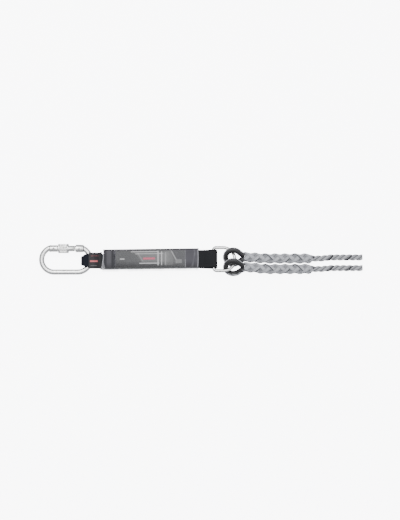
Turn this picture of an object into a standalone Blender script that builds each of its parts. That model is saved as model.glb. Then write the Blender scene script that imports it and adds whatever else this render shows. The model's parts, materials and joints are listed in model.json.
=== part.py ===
"""Twin shock-absorbing lanyard: a steel screw-gate oval, a folded tear-webbing
energy absorber under clear film, a D ring and two spliced rope legs.

Metres, +Z up. It lies flat along +X with its lowest point on z = 0.
"""

import math

import bmesh
import bpy
from mathutils import Matrix, Vector

MM = 0.001
GAP = 0.3 * MM  # running clearance between neighbouring pieces

# Steel oval with a screw gate
ROD_DIAMETER = 10.0 * MM
OVAL_LENGTH = 103.0 * MM
OVAL_WIDTH = 57.6 * MM
GATE_INSET = 2.5 * MM  # the gate's axis lies this far inside the rod's centre line
NOSE_DIAMETER = 13.5 * MM
NOSE_LENGTH = 16.3 * MM
NOSE_END = 15.6 * MM  # from the oval's middle to the face that meets the gate
HINGE_DIAMETER = 15.2 * MM
HINGE_LENGTH = 15.9 * MM
HINGE_START = 19.0 * MM  # from the oval's middle to the hinge block
HINGE_PIVOT = 25.5 * MM
TONGUE_THICKNESS = 4.0 * MM
LATCH_PIN_DIAMETER = 3.6 * MM
LATCH_PIN_SETBACK = 7.6 * MM  # behind the nose block's open face
RIVET_DIAMETER = 3.2 * MM
GATE_DIAMETER = 10.8 * MM
SLEEVE_DIAMETER = 17.7 * MM
SLEEVE_WALL = 1.75 * MM
SLEEVE_LENGTH = 19.6 * MM
KNURL_DEPTH = 0.45 * MM
KNURL_TEETH = 36
SPRING_WIRE = 0.4 * MM
SPRING_DIAMETER = 2.2 * MM
SPRING_TURNS = 7
PLUNGER_LENGTH = 4.4 * MM

# Energy absorber
TEAR_WIDTH = 35.0 * MM
TEAR_THICKNESS = 2.6 * MM
TEAR_RUNS = 7  # odd, so that the two ends leave on opposite sides
TEAR_FOLD_GAP = 0.55 * MM
TAPE_GAP = 0.3 * MM  # between the two tapes of the webbing
PACK_LENGTH = 184.0 * MM
END_SEAM = 23.0 * MM  # how far each loop is sewn into the pack
FILM_WALL = 0.4 * MM
FILM_SIDE_GAP = 0.9 * MM
FILM_CORNER = 1.8 * MM
FILM_END_HEIGHT = 13.0 * MM
FILM_FIN_WIDTH = 4.6 * MM
LABEL_END_GAP = 2.5 * MM  # from the card's end to where the film starts to narrow
LABEL_WIDTH = 34.0 * MM
LABEL_THICKNESS = 0.4 * MM
PACK_SIDE_SHIFT = 3.4 * MM

# Webbing loops
WEBBING = 2.0 * MM
LOOP_INNER_HEIGHT = 16.6 * MM
LOOP_STRAIGHT = 5.5 * MM  # the layers start to close this far past the rod's middle
LOOP_SLACK = 17.8 * MM  # fold to the middle of the rod inside the loop
LOOP_NECK = 22.0 * MM  # rod to where the two layers lie together
LOOP_FOLD_WIDTH = 17.2 * MM
LOOP_WIDTH = 27.0 * MM
LOOP_PUCKER = 2.6 * MM  # the -Y edge draws in this much round the rod's bend
LOOP_SIDE_SHIFT = -0.5 * MM
CARABINER_SIDE_SHIFT = 1.9 * MM
SWING_AXIS_INSET = 2.0 * MM  # the rod is curved, so it turns about a line a little inside it
WRAP_LENGTH = 24.6 * MM
WRAP_WIDTH = 29.6 * MM
WRAP_WALL = 0.8 * MM
WRAP_CORNER = 1.6 * MM
WRAP_SLOPE = 1.2  # the sloping layers stand this much taller than their thickness
WRAP_NOTCH = 3.5 * MM  # the wrap's sides are open this far past the rod's middle
RING_LOOP_WIDTH = 35.4 * MM
RING_LOOP_INNER_HEIGHT = 10.8 * MM
RING_LOOP_TWIST = 14.0  # degrees, at the ring's bar
RING_LOOP_REACH = 28.5 * MM  # pack to the ring's bar
RING_SIDE_SHIFT = 2.9 * MM
RING_HEIGHT = 16.3 * MM

# D ring
RING_WIRE = 6.0 * MM
RING_HALF_WIDTH = 23.6 * MM
RING_STRAIGHT = 18.7 * MM
RING_NOSE = 22.1 * MM
RING_CORNER = 5.5 * MM
RING_ROLL = 20.6  # degrees, lifts the -Y side
RING_PITCH = 3.6  # degrees, lowers the round end

# Rope legs
ROPE_DIAMETER = 10.0 * MM
EYE_ROPE_DIAMETER = 9.2 * MM  # the rope is squeezed where it lies in the groove
EYE_RADIUS = 15.4 * MM
EYE_TAPER = 39.6  # degrees, half angle between the two arms
THIMBLE_WALL = 1.1 * MM
THIMBLE_LIP = 1.8 * MM
THIMBLE_LEAN = -15.0  # degrees, how the channel faces on both arms, whatever the eye's tilt
THIMBLE_EDGE = 0.3 * MM
THIMBLE_LENGTH = 39.0 * MM
THIMBLE_REACH = 37.6 * MM  # ring's bar to the middle of each eye
SPLICE_DIAMETER = 19.4 * MM
SPLICE_LENGTH = 126.0 * MM
SPLICE_TUCKS = 5
SPLICE_TAPER = 10.0 * MM
TAIL_LENGTH = 99.0 * MM
# Each leg: middle of the eye beside the ring's bar and above the ground, tilt that
# raises the +Y edge, nose-up pitch and yaw in degrees
LEG_SIDE = {"a": 3.8 * MM, "b": -15.4 * MM}
LEG_HEIGHT = {"a": 12.1 * MM, "b": 16.8 * MM}
LEG_TILT = {"a": 22.9, "b": 33.1}
LEG_PITCH = {"a": 1.2, "b": 2.1}
LEG_YAW = {"a": 0.0, "b": -1.0}
# Sideways drift of the rope from its eye, at the splice and at the cut end
SPLICE_DRIFT = {"a": -2.6 * MM, "b": -3.5 * MM}
TAIL_DRIFT = {"a": -0.9 * MM, "b": -3.4 * MM}

# Worked out from the sizes above
GATE_SIDE = OVAL_WIDTH / 2 - ROD_DIAMETER / 2 - GATE_INSET
END_RADIUS = OVAL_WIDTH / 2 - ROD_DIAMETER / 2
OVAL_STRAIGHT = OVAL_LENGTH / 2 - OVAL_WIDTH / 2  # half of it
TEAR_PITCH = TEAR_THICKNESS + TEAR_FOLD_GAP
STACK_HEIGHT = (TEAR_RUNS - 1) * TEAR_PITCH + TEAR_THICKNESS
FILM_HEIGHT = STACK_HEIGHT + LABEL_THICKNESS + 3 * GAP + 2 * FILM_WALL
FILM_HALF_WIDTH = TEAR_WIDTH / 2 + FILM_SIDE_GAP + FILM_WALL
STACK_FLOOR = FILM_WALL + GAP
PACK_MIDDLE = STACK_FLOOR + STACK_HEIGHT / 2
LABEL_LENGTH = PACK_LENGTH - 2 * END_SEAM - 2 * LABEL_END_GAP
SEAM_SPREAD = TEAR_THICKNESS / 2 + GAP + WEBBING / 2  # loop layer to the seam's middle
LOOP_RISE = LOOP_INNER_HEIGHT / 2 + WEBBING / 2
LOOP_HEIGHT = LOOP_RISE + (WEBBING / 2 + WRAP_WALL) * WRAP_SLOPE + GAP + 0.1 * MM
THREAD_RADIUS = SLEEVE_DIAMETER / 2 - SLEEVE_WALL - GAP - 0.05 * MM
BORE_RADIUS = SPRING_DIAMETER / 2 + 0.15 * MM
BORE_DROP = RIVET_DIAMETER / 2 + GAP + 0.35 * MM + BORE_RADIUS
THIMBLE_HALF = EYE_ROPE_DIAMETER / 2 + GAP + THIMBLE_WALL

PACK_END = PACK_LENGTH / 2
ROD_X = -PACK_END - LOOP_NECK - 1.3 * MM
RING_X = PACK_END + RING_LOOP_REACH


def clear_scene():
    for item in list(bpy.data.objects):
        bpy.data.objects.remove(item, do_unlink=True)


def new_collection(name):
    group = bpy.data.collections.new(name)
    bpy.context.scene.collection.children.link(group)
    return group


def material(name, colour, roughness, metallic=0.0, alpha=1.0):
    made = bpy.data.materials.new(name)
    made.use_nodes = True
    shader = made.node_tree.nodes["Principled BSDF"]
    shader.inputs["Base Color"].default_value = (*colour, 1.0)
    shader.inputs["Roughness"].default_value = roughness
    shader.inputs["Metallic"].default_value = metallic
    shader.inputs["Alpha"].default_value = alpha
    return made


def move_to(obj, group):
    for other in list(obj.users_collection):
        other.objects.unlink(obj)
    group.objects.link(obj)


def as_part(obj, name, finish, parent=None, offset=(0, 0, 0)):
    """Names a finished piece, gives it its material and hangs it on its pivot."""
    obj.name = name
    obj.data.name = name
    obj.data.materials.clear()
    obj.data.materials.append(finish)
    if obj.type == "MESH":
        obj.data.shade_smooth()
        obj.data.set_sharp_from_angle(angle=math.radians(35))
    move_to(obj, PARTS)
    obj.parent = parent
    obj.location = Vector(obj.location) + Vector(offset)
    return obj


def pivot(name, location, rotation=(0, 0, 0), parent=None):
    """An empty on a joint's axis. Its place is in world space."""
    empty = bpy.data.objects.new(name, None)
    empty.empty_display_size = 0.02
    PARTS.objects.link(empty)
    empty.location = location
    empty.rotation_euler = [math.radians(angle) for angle in rotation]
    if parent is not None:
        bpy.context.view_layer.update()
        empty.parent = parent
        empty.matrix_parent_inverse = parent.matrix_world.inverted()
    bpy.context.view_layer.update()
    return empty


def as_mesh(obj):
    """The same piece as a plain mesh with its caps welded and its place applied."""
    bpy.context.view_layer.update()
    graph = bpy.context.evaluated_depsgraph_get()
    made = bpy.data.meshes.new_from_object(obj.evaluated_get(graph))
    made.transform(obj.matrix_world)
    work = bmesh.new()
    work.from_mesh(made)
    bmesh.ops.remove_doubles(work, verts=work.verts, dist=1e-7)
    bmesh.ops.recalc_face_normals(work, faces=work.faces)
    work.to_mesh(made)
    work.free()
    name = obj.name
    bpy.data.objects.remove(obj, do_unlink=True)
    solid = bpy.data.objects.new(name, made)
    PARTS.objects.link(solid)
    return solid


def boolean(target, tool, operation):
    """A tool rides on its target, so both move together."""
    move_to(tool, CUTTERS)
    tool.hide_render = True
    tool.display_type = "WIRE"
    tool.parent = target
    step = target.modifiers.new(operation.title(), "BOOLEAN")
    step.operation = operation
    step.solver = "EXACT"
    step.object = tool
    return target


def fuse(target, tool):
    return boolean(target, tool, "UNION")


def cut(target, tool):
    return boolean(target, tool, "DIFFERENCE")


def keep_inside(target, tool):
    return boolean(target, tool, "INTERSECT")


def box(name, low, high):
    bpy.ops.mesh.primitive_cube_add(size=1)
    obj = bpy.context.object
    obj.name = name
    low, high = Vector(low), Vector(high)
    size = high - low
    place = Matrix.Translation((low + high) / 2) @ Matrix.Diagonal((*size, 1))
    obj.data.transform(place)
    move_to(obj, PARTS)
    return obj


def rod_along(name, start, end, radius, sides=24):
    """A plain cylinder between two points."""
    start, end = Vector(start), Vector(end)
    way = end - start
    bpy.ops.mesh.primitive_cylinder_add(vertices=sides, radius=radius, depth=way.length)
    obj = bpy.context.object
    obj.name = name
    turn = way.to_track_quat("Z", "Y").to_matrix().to_4x4()
    obj.data.transform(Matrix.Translation((start + end) / 2) @ turn)
    move_to(obj, PARTS)
    return obj


def turned(name, profile, steps=32):
    """Spins (along, radius) points, given from low x to high x, about the X axis."""
    mesh = bpy.data.meshes.new(name)
    points = [(radius, 0.0, along) for along, radius in reversed(profile)]
    edges = [(i, i + 1) for i in range(len(points) - 1)]
    mesh.from_pydata(points, edges, [])
    obj = bpy.data.objects.new(name, mesh)
    PARTS.objects.link(obj)
    spin = obj.modifiers.new("Spin", "SCREW")
    spin.steps = steps
    spin.render_steps = steps
    spin.use_merge_vertices = True
    spin.merge_threshold = 1e-6
    spin.use_smooth_shade = True
    obj.rotation_euler = (0, math.radians(90), 0)
    return as_mesh(obj)


def tube(name, points, radius, sides=12, cyclic=False, radii=None):
    """A round bar along a list of points."""
    data = bpy.data.curves.new(name, "CURVE")
    data.dimensions = "3D"
    data.bevel_depth = radius
    data.bevel_resolution = max(0, (sides - 4) // 2)
    data.use_fill_caps = True
    line = data.splines.new("POLY")
    line.points.add(len(points) - 1)
    for i, point in enumerate(points):
        line.points[i].co = (*point, 1.0)
        line.points[i].radius = radii[i] if radii else 1.0
    line.use_cyclic_u = cyclic
    obj = bpy.data.objects.new(name, data)
    PARTS.objects.link(obj)
    return obj


def outline(name, points, thickness):
    """A flat plate in the XY plane, centred on z = 0."""
    data = bpy.data.curves.new(name, "CURVE")
    data.dimensions = "2D"
    data.fill_mode = "BOTH"
    data.extrude = thickness / 2
    line = data.splines.new("POLY")
    line.points.add(len(points) - 1)
    for i, point in enumerate(points):
        line.points[i].co = (point[0], point[1], 0.0, 1.0)
    line.use_cyclic_u = True
    obj = bpy.data.objects.new(name, data)
    PARTS.objects.link(obj)
    return as_mesh(obj)


def band(name, points, width, thickness, offset=0.0):
    """Webbing that follows (x, z) points, with its width along Y. An offset of 1 puts
    its whole thickness on one side of them."""
    data = bpy.data.curves.new(name, "CURVE")
    data.dimensions = "2D"
    data.fill_mode = "NONE"
    data.extrude = width / 2
    line = data.splines.new("POLY")
    line.points.add(len(points) - 1)
    for i, (x, z) in enumerate(points):
        line.points[i].co = (x, z, 0.0, 1.0)
    obj = bpy.data.objects.new(name, data)
    PARTS.objects.link(obj)
    obj.rotation_euler = (math.radians(90), 0, 0)
    obj = as_mesh(obj)
    wall = obj.modifiers.new("Thickness", "SOLIDIFY")
    wall.thickness = thickness
    wall.offset = offset
    wall.use_even_offset = True
    return obj


def arc(centre, radius, start, end, steps):
    """Points on a circle, angles in degrees. A pair of radii gives an ellipse."""
    across, up = radius if isinstance(radius, tuple) else (radius, radius)
    points = []
    for i in range(steps + 1):
        angle = math.radians(start + (end - start) * i / steps)
        points.append((centre[0] + across * math.cos(angle), centre[1] + up * math.sin(angle)))
    return points


def ease(t):
    """Smooth step from 0 to 1."""
    t = min(max(t, 0.0), 1.0)
    return t * t * (3 - 2 * t)


def carabiner_body():
    """The bent rod with its nose block and hinge block."""
    nose_angle = 180 - math.degrees(math.acos(6.35 * MM / END_RADIUS))
    hinge_angle = math.degrees(math.acos(8.35 * MM / END_RADIUS))
    path = arc((-OVAL_STRAIGHT, 0), END_RADIUS, nose_angle, 270, 15)
    path += arc((OVAL_STRAIGHT, 0), END_RADIUS, -90, hinge_angle, 15)
    body = as_mesh(tube("rod", [(x, y, 0) for x, y in path], ROD_DIAMETER / 2))
    side = Matrix.Translation((0, GATE_SIDE, 0))
    nose = NOSE_DIAMETER / 2
    left = -NOSE_END - NOSE_LENGTH
    block = turned(
        "nose_block",
        [
            (left, 0),
            (left, nose - 1.1 * MM),
            (left + 1.0 * MM, nose - 0.1 * MM),
            (left + 1.4 * MM, nose - 0.5 * MM),
            (left + 1.8 * MM, nose),
            (-NOSE_END - 0.5 * MM, nose),
            (-NOSE_END, nose - 0.5 * MM),
            (-NOSE_END, 0),
        ],
    )
    block.data.transform(side)
    fuse(body, block)
    hinge = HINGE_DIAMETER / 2
    right = HINGE_START + HINGE_LENGTH
    block = turned(
        "hinge_block",
        [
            (HINGE_START, 0),
            (HINGE_START, hinge - 0.6 * MM),
            (HINGE_START + 0.6 * MM, hinge),
            (right - 5.6 * MM, hinge),
            (right - 5.1 * MM, hinge - 0.6 * MM),
            (right - 4.6 * MM, hinge - 0.2 * MM),
            (right - 2.0 * MM, hinge - 0.6 * MM),
            (right, hinge - 2.2 * MM),
            (right, 0),
        ],
    )
    block.data.transform(side)
    fuse(body, block)
    half_slot = TONGUE_THICKNESS / 2 + GAP
    tall = HINGE_DIAMETER
    nose_slot = box(
        "nose_slot",
        (-NOSE_END - LATCH_PIN_SETBACK - 5.4 * MM, GATE_SIDE - tall, -half_slot),
        (-NOSE_END + 1 * MM, GATE_SIDE + tall, half_slot),
    )
    cut(body, nose_slot)
    hinge_slot = box(
        "hinge_slot",
        (HINGE_START - 1 * MM, GATE_SIDE - tall, -half_slot),
        (slot_floor(), GATE_SIDE + tall, half_slot),
    )
    cut(body, hinge_slot)
    for name, x, radius in (
        ("latch_hole", -NOSE_END - LATCH_PIN_SETBACK, LATCH_PIN_DIAMETER / 2),
        ("rivet_hole", HINGE_PIVOT, RIVET_DIAMETER / 2),
    ):
        hole = rod_along(name, (x, GATE_SIDE, -tall), (x, GATE_SIDE, tall), radius + GAP)
        cut(body, hole)
    return body


def slot_floor():
    """Where the hinge slot ends, just past the gate's rounded heel."""
    return HINGE_PIVOT + heel_radius() + 0.5 * MM


def heel_radius():
    return BORE_DROP + BORE_RADIUS + 1.2 * MM


def carabiner_gate():
    """Gate tube with its hooked tongue, its heel and the plunger's bore."""
    front = -NOSE_END + 0.8 * MM
    rear = HINGE_PIVOT - 9.5 * MM
    thread_end = front - 0.3 * MM + SLEEVE_LENGTH - 0.7 * MM
    plain = GATE_DIAMETER / 2
    gate = turned(
        "gate_tube",
        [
            (front, 0),
            (front, THREAD_RADIUS - 0.5 * MM),
            (front + 0.5 * MM, THREAD_RADIUS),
            (thread_end - 0.8 * MM, THREAD_RADIUS),
            (thread_end, plain),
            (rear - 0.4 * MM, plain),
            (rear, plain - 0.4 * MM),
            (rear, 0),
        ],
    )
    gate.data.transform(Matrix.Translation((0, GATE_SIDE, 0)))
    pin_x = -NOSE_END - LATCH_PIN_SETBACK
    reach = pin_x - 4.6 * MM
    high = 4.6 * MM
    notch = LATCH_PIN_DIAMETER / 2 + 0.35 * MM
    hook = [(front + 4 * MM, -high), (front + 4 * MM, high), (pin_x + notch, high)]
    hook += arc((pin_x, 0), notch, 0, -180, 8)
    hook += [(pin_x - notch, high - 0.4 * MM), (reach + 0.6 * MM, high - 0.4 * MM)]
    hook += [(reach, high - 1.2 * MM), (reach, -high + 1.6 * MM), (reach + 1.6 * MM, -high)]
    tongue = outline("hook", [(x, GATE_SIDE + y) for x, y in hook], TONGUE_THICKNESS)
    fuse(gate, tongue)
    heel = heel_radius()
    root = rear - 4 * MM
    low = GATE_DIAMETER / 2 - 0.3 * MM
    plate = [(root, -low), (rear, -low), (HINGE_PIVOT - 3 * MM, -heel + 0.05 * MM)]
    plate += arc((HINGE_PIVOT, 0), heel, -90, 90, 12)
    plate += [(HINGE_PIVOT - 3 * MM, heel - 0.05 * MM), (rear, low), (root, low)]
    plate = [(x, GATE_SIDE + y) for x, y in plate]
    fuse(gate, outline("heel", plate, TONGUE_THICKNESS))
    pin = rod_along(
        "gate_rivet_hole",
        (HINGE_PIVOT, GATE_SIDE, -10 * MM),
        (HINGE_PIVOT, GATE_SIDE, 10 * MM),
        RIVET_DIAMETER / 2 + GAP,
    )
    cut(gate, pin)
    bore = rod_along(
        "plunger_bore",
        (spring_start() - 0.3 * MM, GATE_SIDE - BORE_DROP, 0),
        (slot_floor() + 5 * MM, GATE_SIDE - BORE_DROP, 0),
        BORE_RADIUS,
        16,
    )
    cut(gate, bore)
    return gate


def spring_start():
    return HINGE_PIVOT - 11.5 * MM


def spring_end():
    return slot_floor() - GAP - PLUNGER_LENGTH - 0.15 * MM


def gate_plunger():
    """Round-nosed pin that the spring presses on the slot's floor."""
    tip = slot_floor() - GAP
    radius = BORE_RADIUS - 0.2 * MM
    plunger = turned(
        "plunger",
        [
            (tip - PLUNGER_LENGTH, 0),
            (tip - PLUNGER_LENGTH, radius),
            (tip - 0.7 * MM, radius),
            (tip - 0.2 * MM, radius * 0.75),
            (tip, radius * 0.35),
            (tip, 0),
        ],
        16,
    )
    plunger.data.transform(Matrix.Translation((0, GATE_SIDE - BORE_DROP, 0)))
    return plunger


def gate_spring():
    """Coil between the bore's end and the plunger."""
    radius = (SPRING_DIAMETER - SPRING_WIRE) / 2
    start, end = spring_start() + SPRING_WIRE / 2, spring_end() - SPRING_WIRE / 2
    count = SPRING_TURNS * 9
    points = []
    for i in range(count + 1):
        angle = 2 * math.pi * SPRING_TURNS * i / count
        x = start + (end - start) * i / count
        y = GATE_SIDE - BORE_DROP + radius * math.cos(angle)
        points.append((x, y, radius * math.sin(angle)))
    return tube("spring", points, SPRING_WIRE / 2, 6)


def cross_pin(name, x, diameter, half_length):
    """Pin through the gate's slot, its ends slightly rounded."""
    radius = diameter / 2
    pin = turned(
        name,
        [
            (-half_length, 0),
            (-half_length, radius * 0.7),
            (-half_length + 0.4 * MM, radius),
            (half_length - 0.4 * MM, radius),
            (half_length, radius * 0.7),
            (half_length, 0),
        ],
        24,
    )
    pin.data.transform(Matrix.Rotation(math.radians(90), 4, "Y"))
    pin.data.transform(Matrix.Translation((x, GATE_SIDE, 0)))
    return pin


def lock_sleeve():
    """Sleeve with a knurled grip between two plain bands."""
    start = -NOSE_END + 1.1 * MM
    end = start + SLEEVE_LENGTH
    outer = SLEEVE_DIAMETER / 2
    inner = outer - SLEEVE_WALL
    core = outer - 2 * KNURL_DEPTH
    ring = 2.2 * MM
    sleeve = turned(
        "sleeve",
        [
            (start, 0),
            (start, outer - 0.5 * MM),
            (start + 0.5 * MM, outer),
            (start + ring, outer),
            (start + ring + 0.3 * MM, core),
            (end - ring - 0.3 * MM, core),
            (end - ring, outer),
            (end - 0.5 * MM, outer),
            (end, outer - 0.5 * MM),
            (end, 0),
        ],
        36,
    )
    star = []
    for i in range(2 * KNURL_TEETH):
        reach = outer if i % 2 == 0 else outer - KNURL_DEPTH
        angle = math.pi * i / KNURL_TEETH
        star.append((reach * math.cos(angle), reach * math.sin(angle)))
    grip = outline("grip", star, SLEEVE_LENGTH - 2 * ring - 1.0 * MM)
    grip.data.transform(Matrix.Rotation(math.radians(90), 4, "Y"))
    grip.data.transform(Matrix.Translation(((start + end) / 2, 0, 0)))
    fuse(sleeve, grip)
    sleeve.data.transform(Matrix.Translation((0, GATE_SIDE, 0)))
    grip.data.transform(Matrix.Translation((0, GATE_SIDE, 0)))
    bore = rod_along(
        "sleeve_bore",
        (start - 1 * MM, GATE_SIDE, 0),
        (end + 1 * MM, GATE_SIDE, 0),
        inner,
        32,
    )
    cut(sleeve, bore)
    return sleeve


def loop_shape(x):
    """Half height of the carabiner loop's layers, and their middle's height, at x."""
    t = ease((x - ROD_X - LOOP_STRAIGHT) / (LOOP_NECK - LOOP_STRAIGHT))
    half = LOOP_RISE + (SEAM_SPREAD - LOOP_RISE) * t
    return half, LOOP_HEIGHT + (PACK_MIDDLE - LOOP_HEIGHT) * t


def carabiner_loop():
    """Gathered webbing folded round the rod and sewn into the pack."""
    fold_x = ROD_X - LOOP_SLACK + WEBBING / 2 + LOOP_RISE
    inner_end = -PACK_END + END_SEAM
    stations = [fold_x, ROD_X - 3 * MM]
    run = LOOP_NECK - LOOP_STRAIGHT
    stations += [ROD_X + LOOP_STRAIGHT + run * i / 7 for i in range(8)]
    stations.append(inner_end)
    upper, lower = [], []
    for x in sorted(stations):
        half, middle = loop_shape(x)
        upper.append((x, middle + half))
        lower.append((x, middle - half))
    fold = arc((fold_x, LOOP_HEIGHT), LOOP_RISE, 90, 270, 12)[1:-1]
    loop = band("loop", upper[::-1] + fold + lower, 2 * LOOP_WIDTH, WEBBING)
    left = ROD_X - LOOP_SLACK - 1 * MM
    half, narrow = LOOP_WIDTH / 2, LOOP_FOLD_WIDTH / 2
    upper = [(left, narrow), (left + 1.8 * MM, narrow), (left + 8.6 * MM, half - 0.8 * MM)]
    upper += [(ROD_X - 2 * MM, half), (inner_end + 1 * MM, half)]
    lower = [(inner_end + 1 * MM, -half), (ROD_X + LOOP_STRAIGHT, -half)]
    lower += [(ROD_X - 6.5 * MM, -half + LOOP_PUCKER), (left + 6 * MM, -half + LOOP_PUCKER + 0.6 * MM)]
    lower += [(left + 1.8 * MM, -narrow), (left, -narrow)]
    plan = outline("loop_plan", upper + lower, 0.2)
    keep_inside(loop, plan)
    return loop


def sleeve_section(x, half_width, half_height, middle, corner, steps=3):
    """A rounded rectangle across X."""
    points = []
    for a, b, start in ((1, 1, 0), (-1, 1, 90), (-1, -1, 180), (1, -1, 270)):
        centre = (a * (half_width - corner), middle + b * (half_height - corner))
        for y, z in arc(centre, corner, start, start + 90, steps):
            points.append((x, y, z))
    return points


def loft(name, sections, wall):
    """Joins sections of equal count into an open tube with a wall inside it."""
    work = bmesh.new()
    rings = [[work.verts.new(point) for point in section] for section in sections]
    for first, second in zip(rings, rings[1:]):
        for i in range(len(first)):
            j = (i + 1) % len(first)
            work.faces.new((first[i], first[j], second[j], second[i]))
    bmesh.ops.recalc_face_normals(work, faces=work.faces)
    mesh = bpy.data.meshes.new(name)
    work.to_mesh(mesh)
    work.free()
    obj = bpy.data.objects.new(name, mesh)
    PARTS.objects.link(obj)
    step = obj.modifiers.new("Wall", "SOLIDIFY")
    step.thickness = wall
    step.offset = -1.0
    step.use_even_offset = True
    return obj


def loop_wrap():
    """Wear wrap that holds the loop's neck together and carries its marking."""
    start = ROD_X - 2.4 * MM
    sections = []
    for i in range(10):
        x = start + WRAP_LENGTH * i / 9
        half, middle = loop_shape(x)
        half += (WEBBING / 2 + WRAP_WALL) * WRAP_SLOPE + GAP
        sections.append(sleeve_section(x, WRAP_WIDTH / 2, half, middle, WRAP_CORNER))
    wrap = loft("wrap", sections, WRAP_WALL)
    rise = LOOP_RISE
    for name, side in (("right", -1), ("left", 1)):
        edges = sorted((side * (WRAP_WIDTH / 2 - 3 * MM), side * (WRAP_WIDTH / 2 + 1 * MM)))
        notch = box(
            f"{name}_rod_notch",
            (start - 1 * MM, edges[0], LOOP_HEIGHT - rise),
            (ROD_X + WRAP_NOTCH, edges[1], LOOP_HEIGHT + rise),
        )
        cut(wrap, notch)
    return wrap


def tear_tape(side):
    """One of the two tapes of the tear-out webbing, which keep together: a lead from the
    left seam, the folded runs, a lead to the right."""
    fold = TEAR_PITCH / 2
    first = STACK_FLOOR + TEAR_THICKNESS / 2
    left = -PACK_END + END_SEAM + 10.5 * MM
    bend = 4.0 * MM
    drop = left - 5 * MM
    path = [(-PACK_END + 2 * MM, PACK_MIDDLE)]
    path += arc((drop - bend, PACK_MIDDLE - bend), bend, 90, 0, 5)
    path += arc((drop + bend, first + bend), bend, 180, 270, 5)
    for run in range(TEAR_RUNS - 1):
        low = first + run * TEAR_PITCH
        if run % 2 == 0:
            path += arc((-left - fold, low + fold), fold, -90, 90, 6)
        else:
            path += arc((left + fold, low + fold), fold, 270, 90, 6)
    top = first + (TEAR_RUNS - 1) * TEAR_PITCH
    path += arc((-drop - bend, top - bend), bend, 90, 0, 5)
    path += arc((-drop + bend, PACK_MIDDLE + bend), bend, 180, 270, 5)
    path.append((PACK_END - 2 * MM, PACK_MIDDLE))
    thickness = (TEAR_THICKNESS - TAPE_GAP) / 2
    offset = side * (TEAR_THICKNESS + TAPE_GAP) / (2 * thickness)
    return band("tape", path, TEAR_WIDTH, thickness, offset)


def pack_label():
    """Printed card that lies on the webbing under the film."""
    half_x, half_y, corner = LABEL_LENGTH / 2, LABEL_WIDTH / 2, 2.0 * MM
    points = []
    for a, b, start in ((1, 1, 0), (-1, 1, 90), (-1, -1, 180), (1, -1, 270)):
        points += arc((a * (half_x - corner), b * (half_y - corner)), corner, start, start + 90, 3)
    card = outline("card", points, LABEL_THICKNESS)
    height = STACK_FLOOR + STACK_HEIGHT + GAP + LABEL_THICKNESS / 2
    card.data.transform(Matrix.Translation((0, 0, height)))
    return card


def pack_film():
    """Clear shrink film: a tube that narrows at both ends, with its welded fin."""
    middle = FILM_HEIGHT / 2
    shape = (
        (PACK_END, FILM_END_HEIGHT),
        (PACK_END - 6 * MM, FILM_END_HEIGHT + 1.5 * MM),
        (PACK_END - END_SEAM + 4 * MM, FILM_HEIGHT - 2.2 * MM),
        (PACK_END - END_SEAM - 1 * MM, FILM_HEIGHT),
    )
    stations = [(-x, height) for x, height in shape]
    stations += [(x, height) for x, height in reversed(shape)]
    sections = []
    for x, height in stations:
        centre = middle + (PACK_MIDDLE - middle) * (FILM_HEIGHT - height) / FILM_HEIGHT
        sections.append(sleeve_section(x, FILM_HALF_WIDTH, height / 2, centre, FILM_CORNER))
    film = loft("film", sections, FILM_WALL)
    fin = box(
        "film_fin",
        (-PACK_END, -FILM_HALF_WIDTH - FILM_FIN_WIDTH, PACK_MIDDLE - 0.3 * MM),
        (PACK_END, -FILM_HALF_WIDTH + FILM_WALL / 2, PACK_MIDDLE + 0.3 * MM),
    )
    fuse(film, fin)
    return film


def ring_loop():
    """Webbing folded round the ring's bar. Its origin is where it leaves the pack."""
    radius = RING_LOOP_INNER_HEIGHT / 2 + WEBBING / 2
    rise = RING_HEIGHT - PACK_MIDDLE
    upper, lower = [(-END_SEAM, SEAM_SPREAD)], [(-END_SEAM, -SEAM_SPREAD)]
    for i in range(9):
        t = i / 8
        half = SEAM_SPREAD + (radius - SEAM_SPREAD) * ease(t)
        upper.append((RING_LOOP_REACH * t, rise * ease(t) + half))
        lower.append((RING_LOOP_REACH * t, rise * ease(t) - half))
    fold = arc((RING_LOOP_REACH, rise), radius, 90, -90, 12)[1:-1]
    loop = band("loop", upper + fold + lower[::-1], RING_LOOP_WIDTH, WEBBING)
    loop.data.transform(Matrix.Translation((0, 0, -rise)))
    turn = loop.modifiers.new("Twist", "SIMPLE_DEFORM")
    turn.deform_method = "TWIST"
    turn.deform_axis = "X"
    front = RING_LOOP_REACH + radius + WEBBING / 2
    turn.limits = (END_SEAM / (END_SEAM + front), 1.0)
    turn.angle = -math.radians(RING_LOOP_TWIST) * front / RING_LOOP_REACH
    return loop


def d_ring():
    """Bent wire D. Its bar lies along Y through the origin."""
    half, corner = RING_HALF_WIDTH, RING_CORNER
    path = arc((corner, -half + corner), corner, 180, 270, 4)
    path += arc((RING_STRAIGHT, 0), (RING_NOSE, half), -90, 90, 24)
    path += arc((corner, half - corner), corner, 90, 180, 4)
    return tube("ring", [(x, y, 0) for x, y in path], RING_WIRE / 2, 12, cyclic=True)


def eye_path(start_angle, steps):
    """Half of the rope's line round an eye, from the crown to the throat."""
    throat = ROPE_DIAMETER / 2 + GAP
    taper = math.radians(EYE_TAPER)
    points = arc((0, 0), EYE_RADIUS, start_angle, 90 - EYE_TAPER, steps)
    x, y = points[-1]
    run = (y - throat) / math.sin(taper)
    knee = (x + run * math.cos(taper), throat)
    for t in (0.5, 0.85):
        points.append((x + (knee[0] - x) * t, y + (knee[1] - y) * t))
    points.append((knee[0] + throat / 6, throat))
    points.append((eye_end(), throat))
    return points


def eye_end():
    """Where an eye's arms end, from the middle of its crown."""
    return THIMBLE_LENGTH - EYE_RADIUS - THIMBLE_LIP


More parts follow.
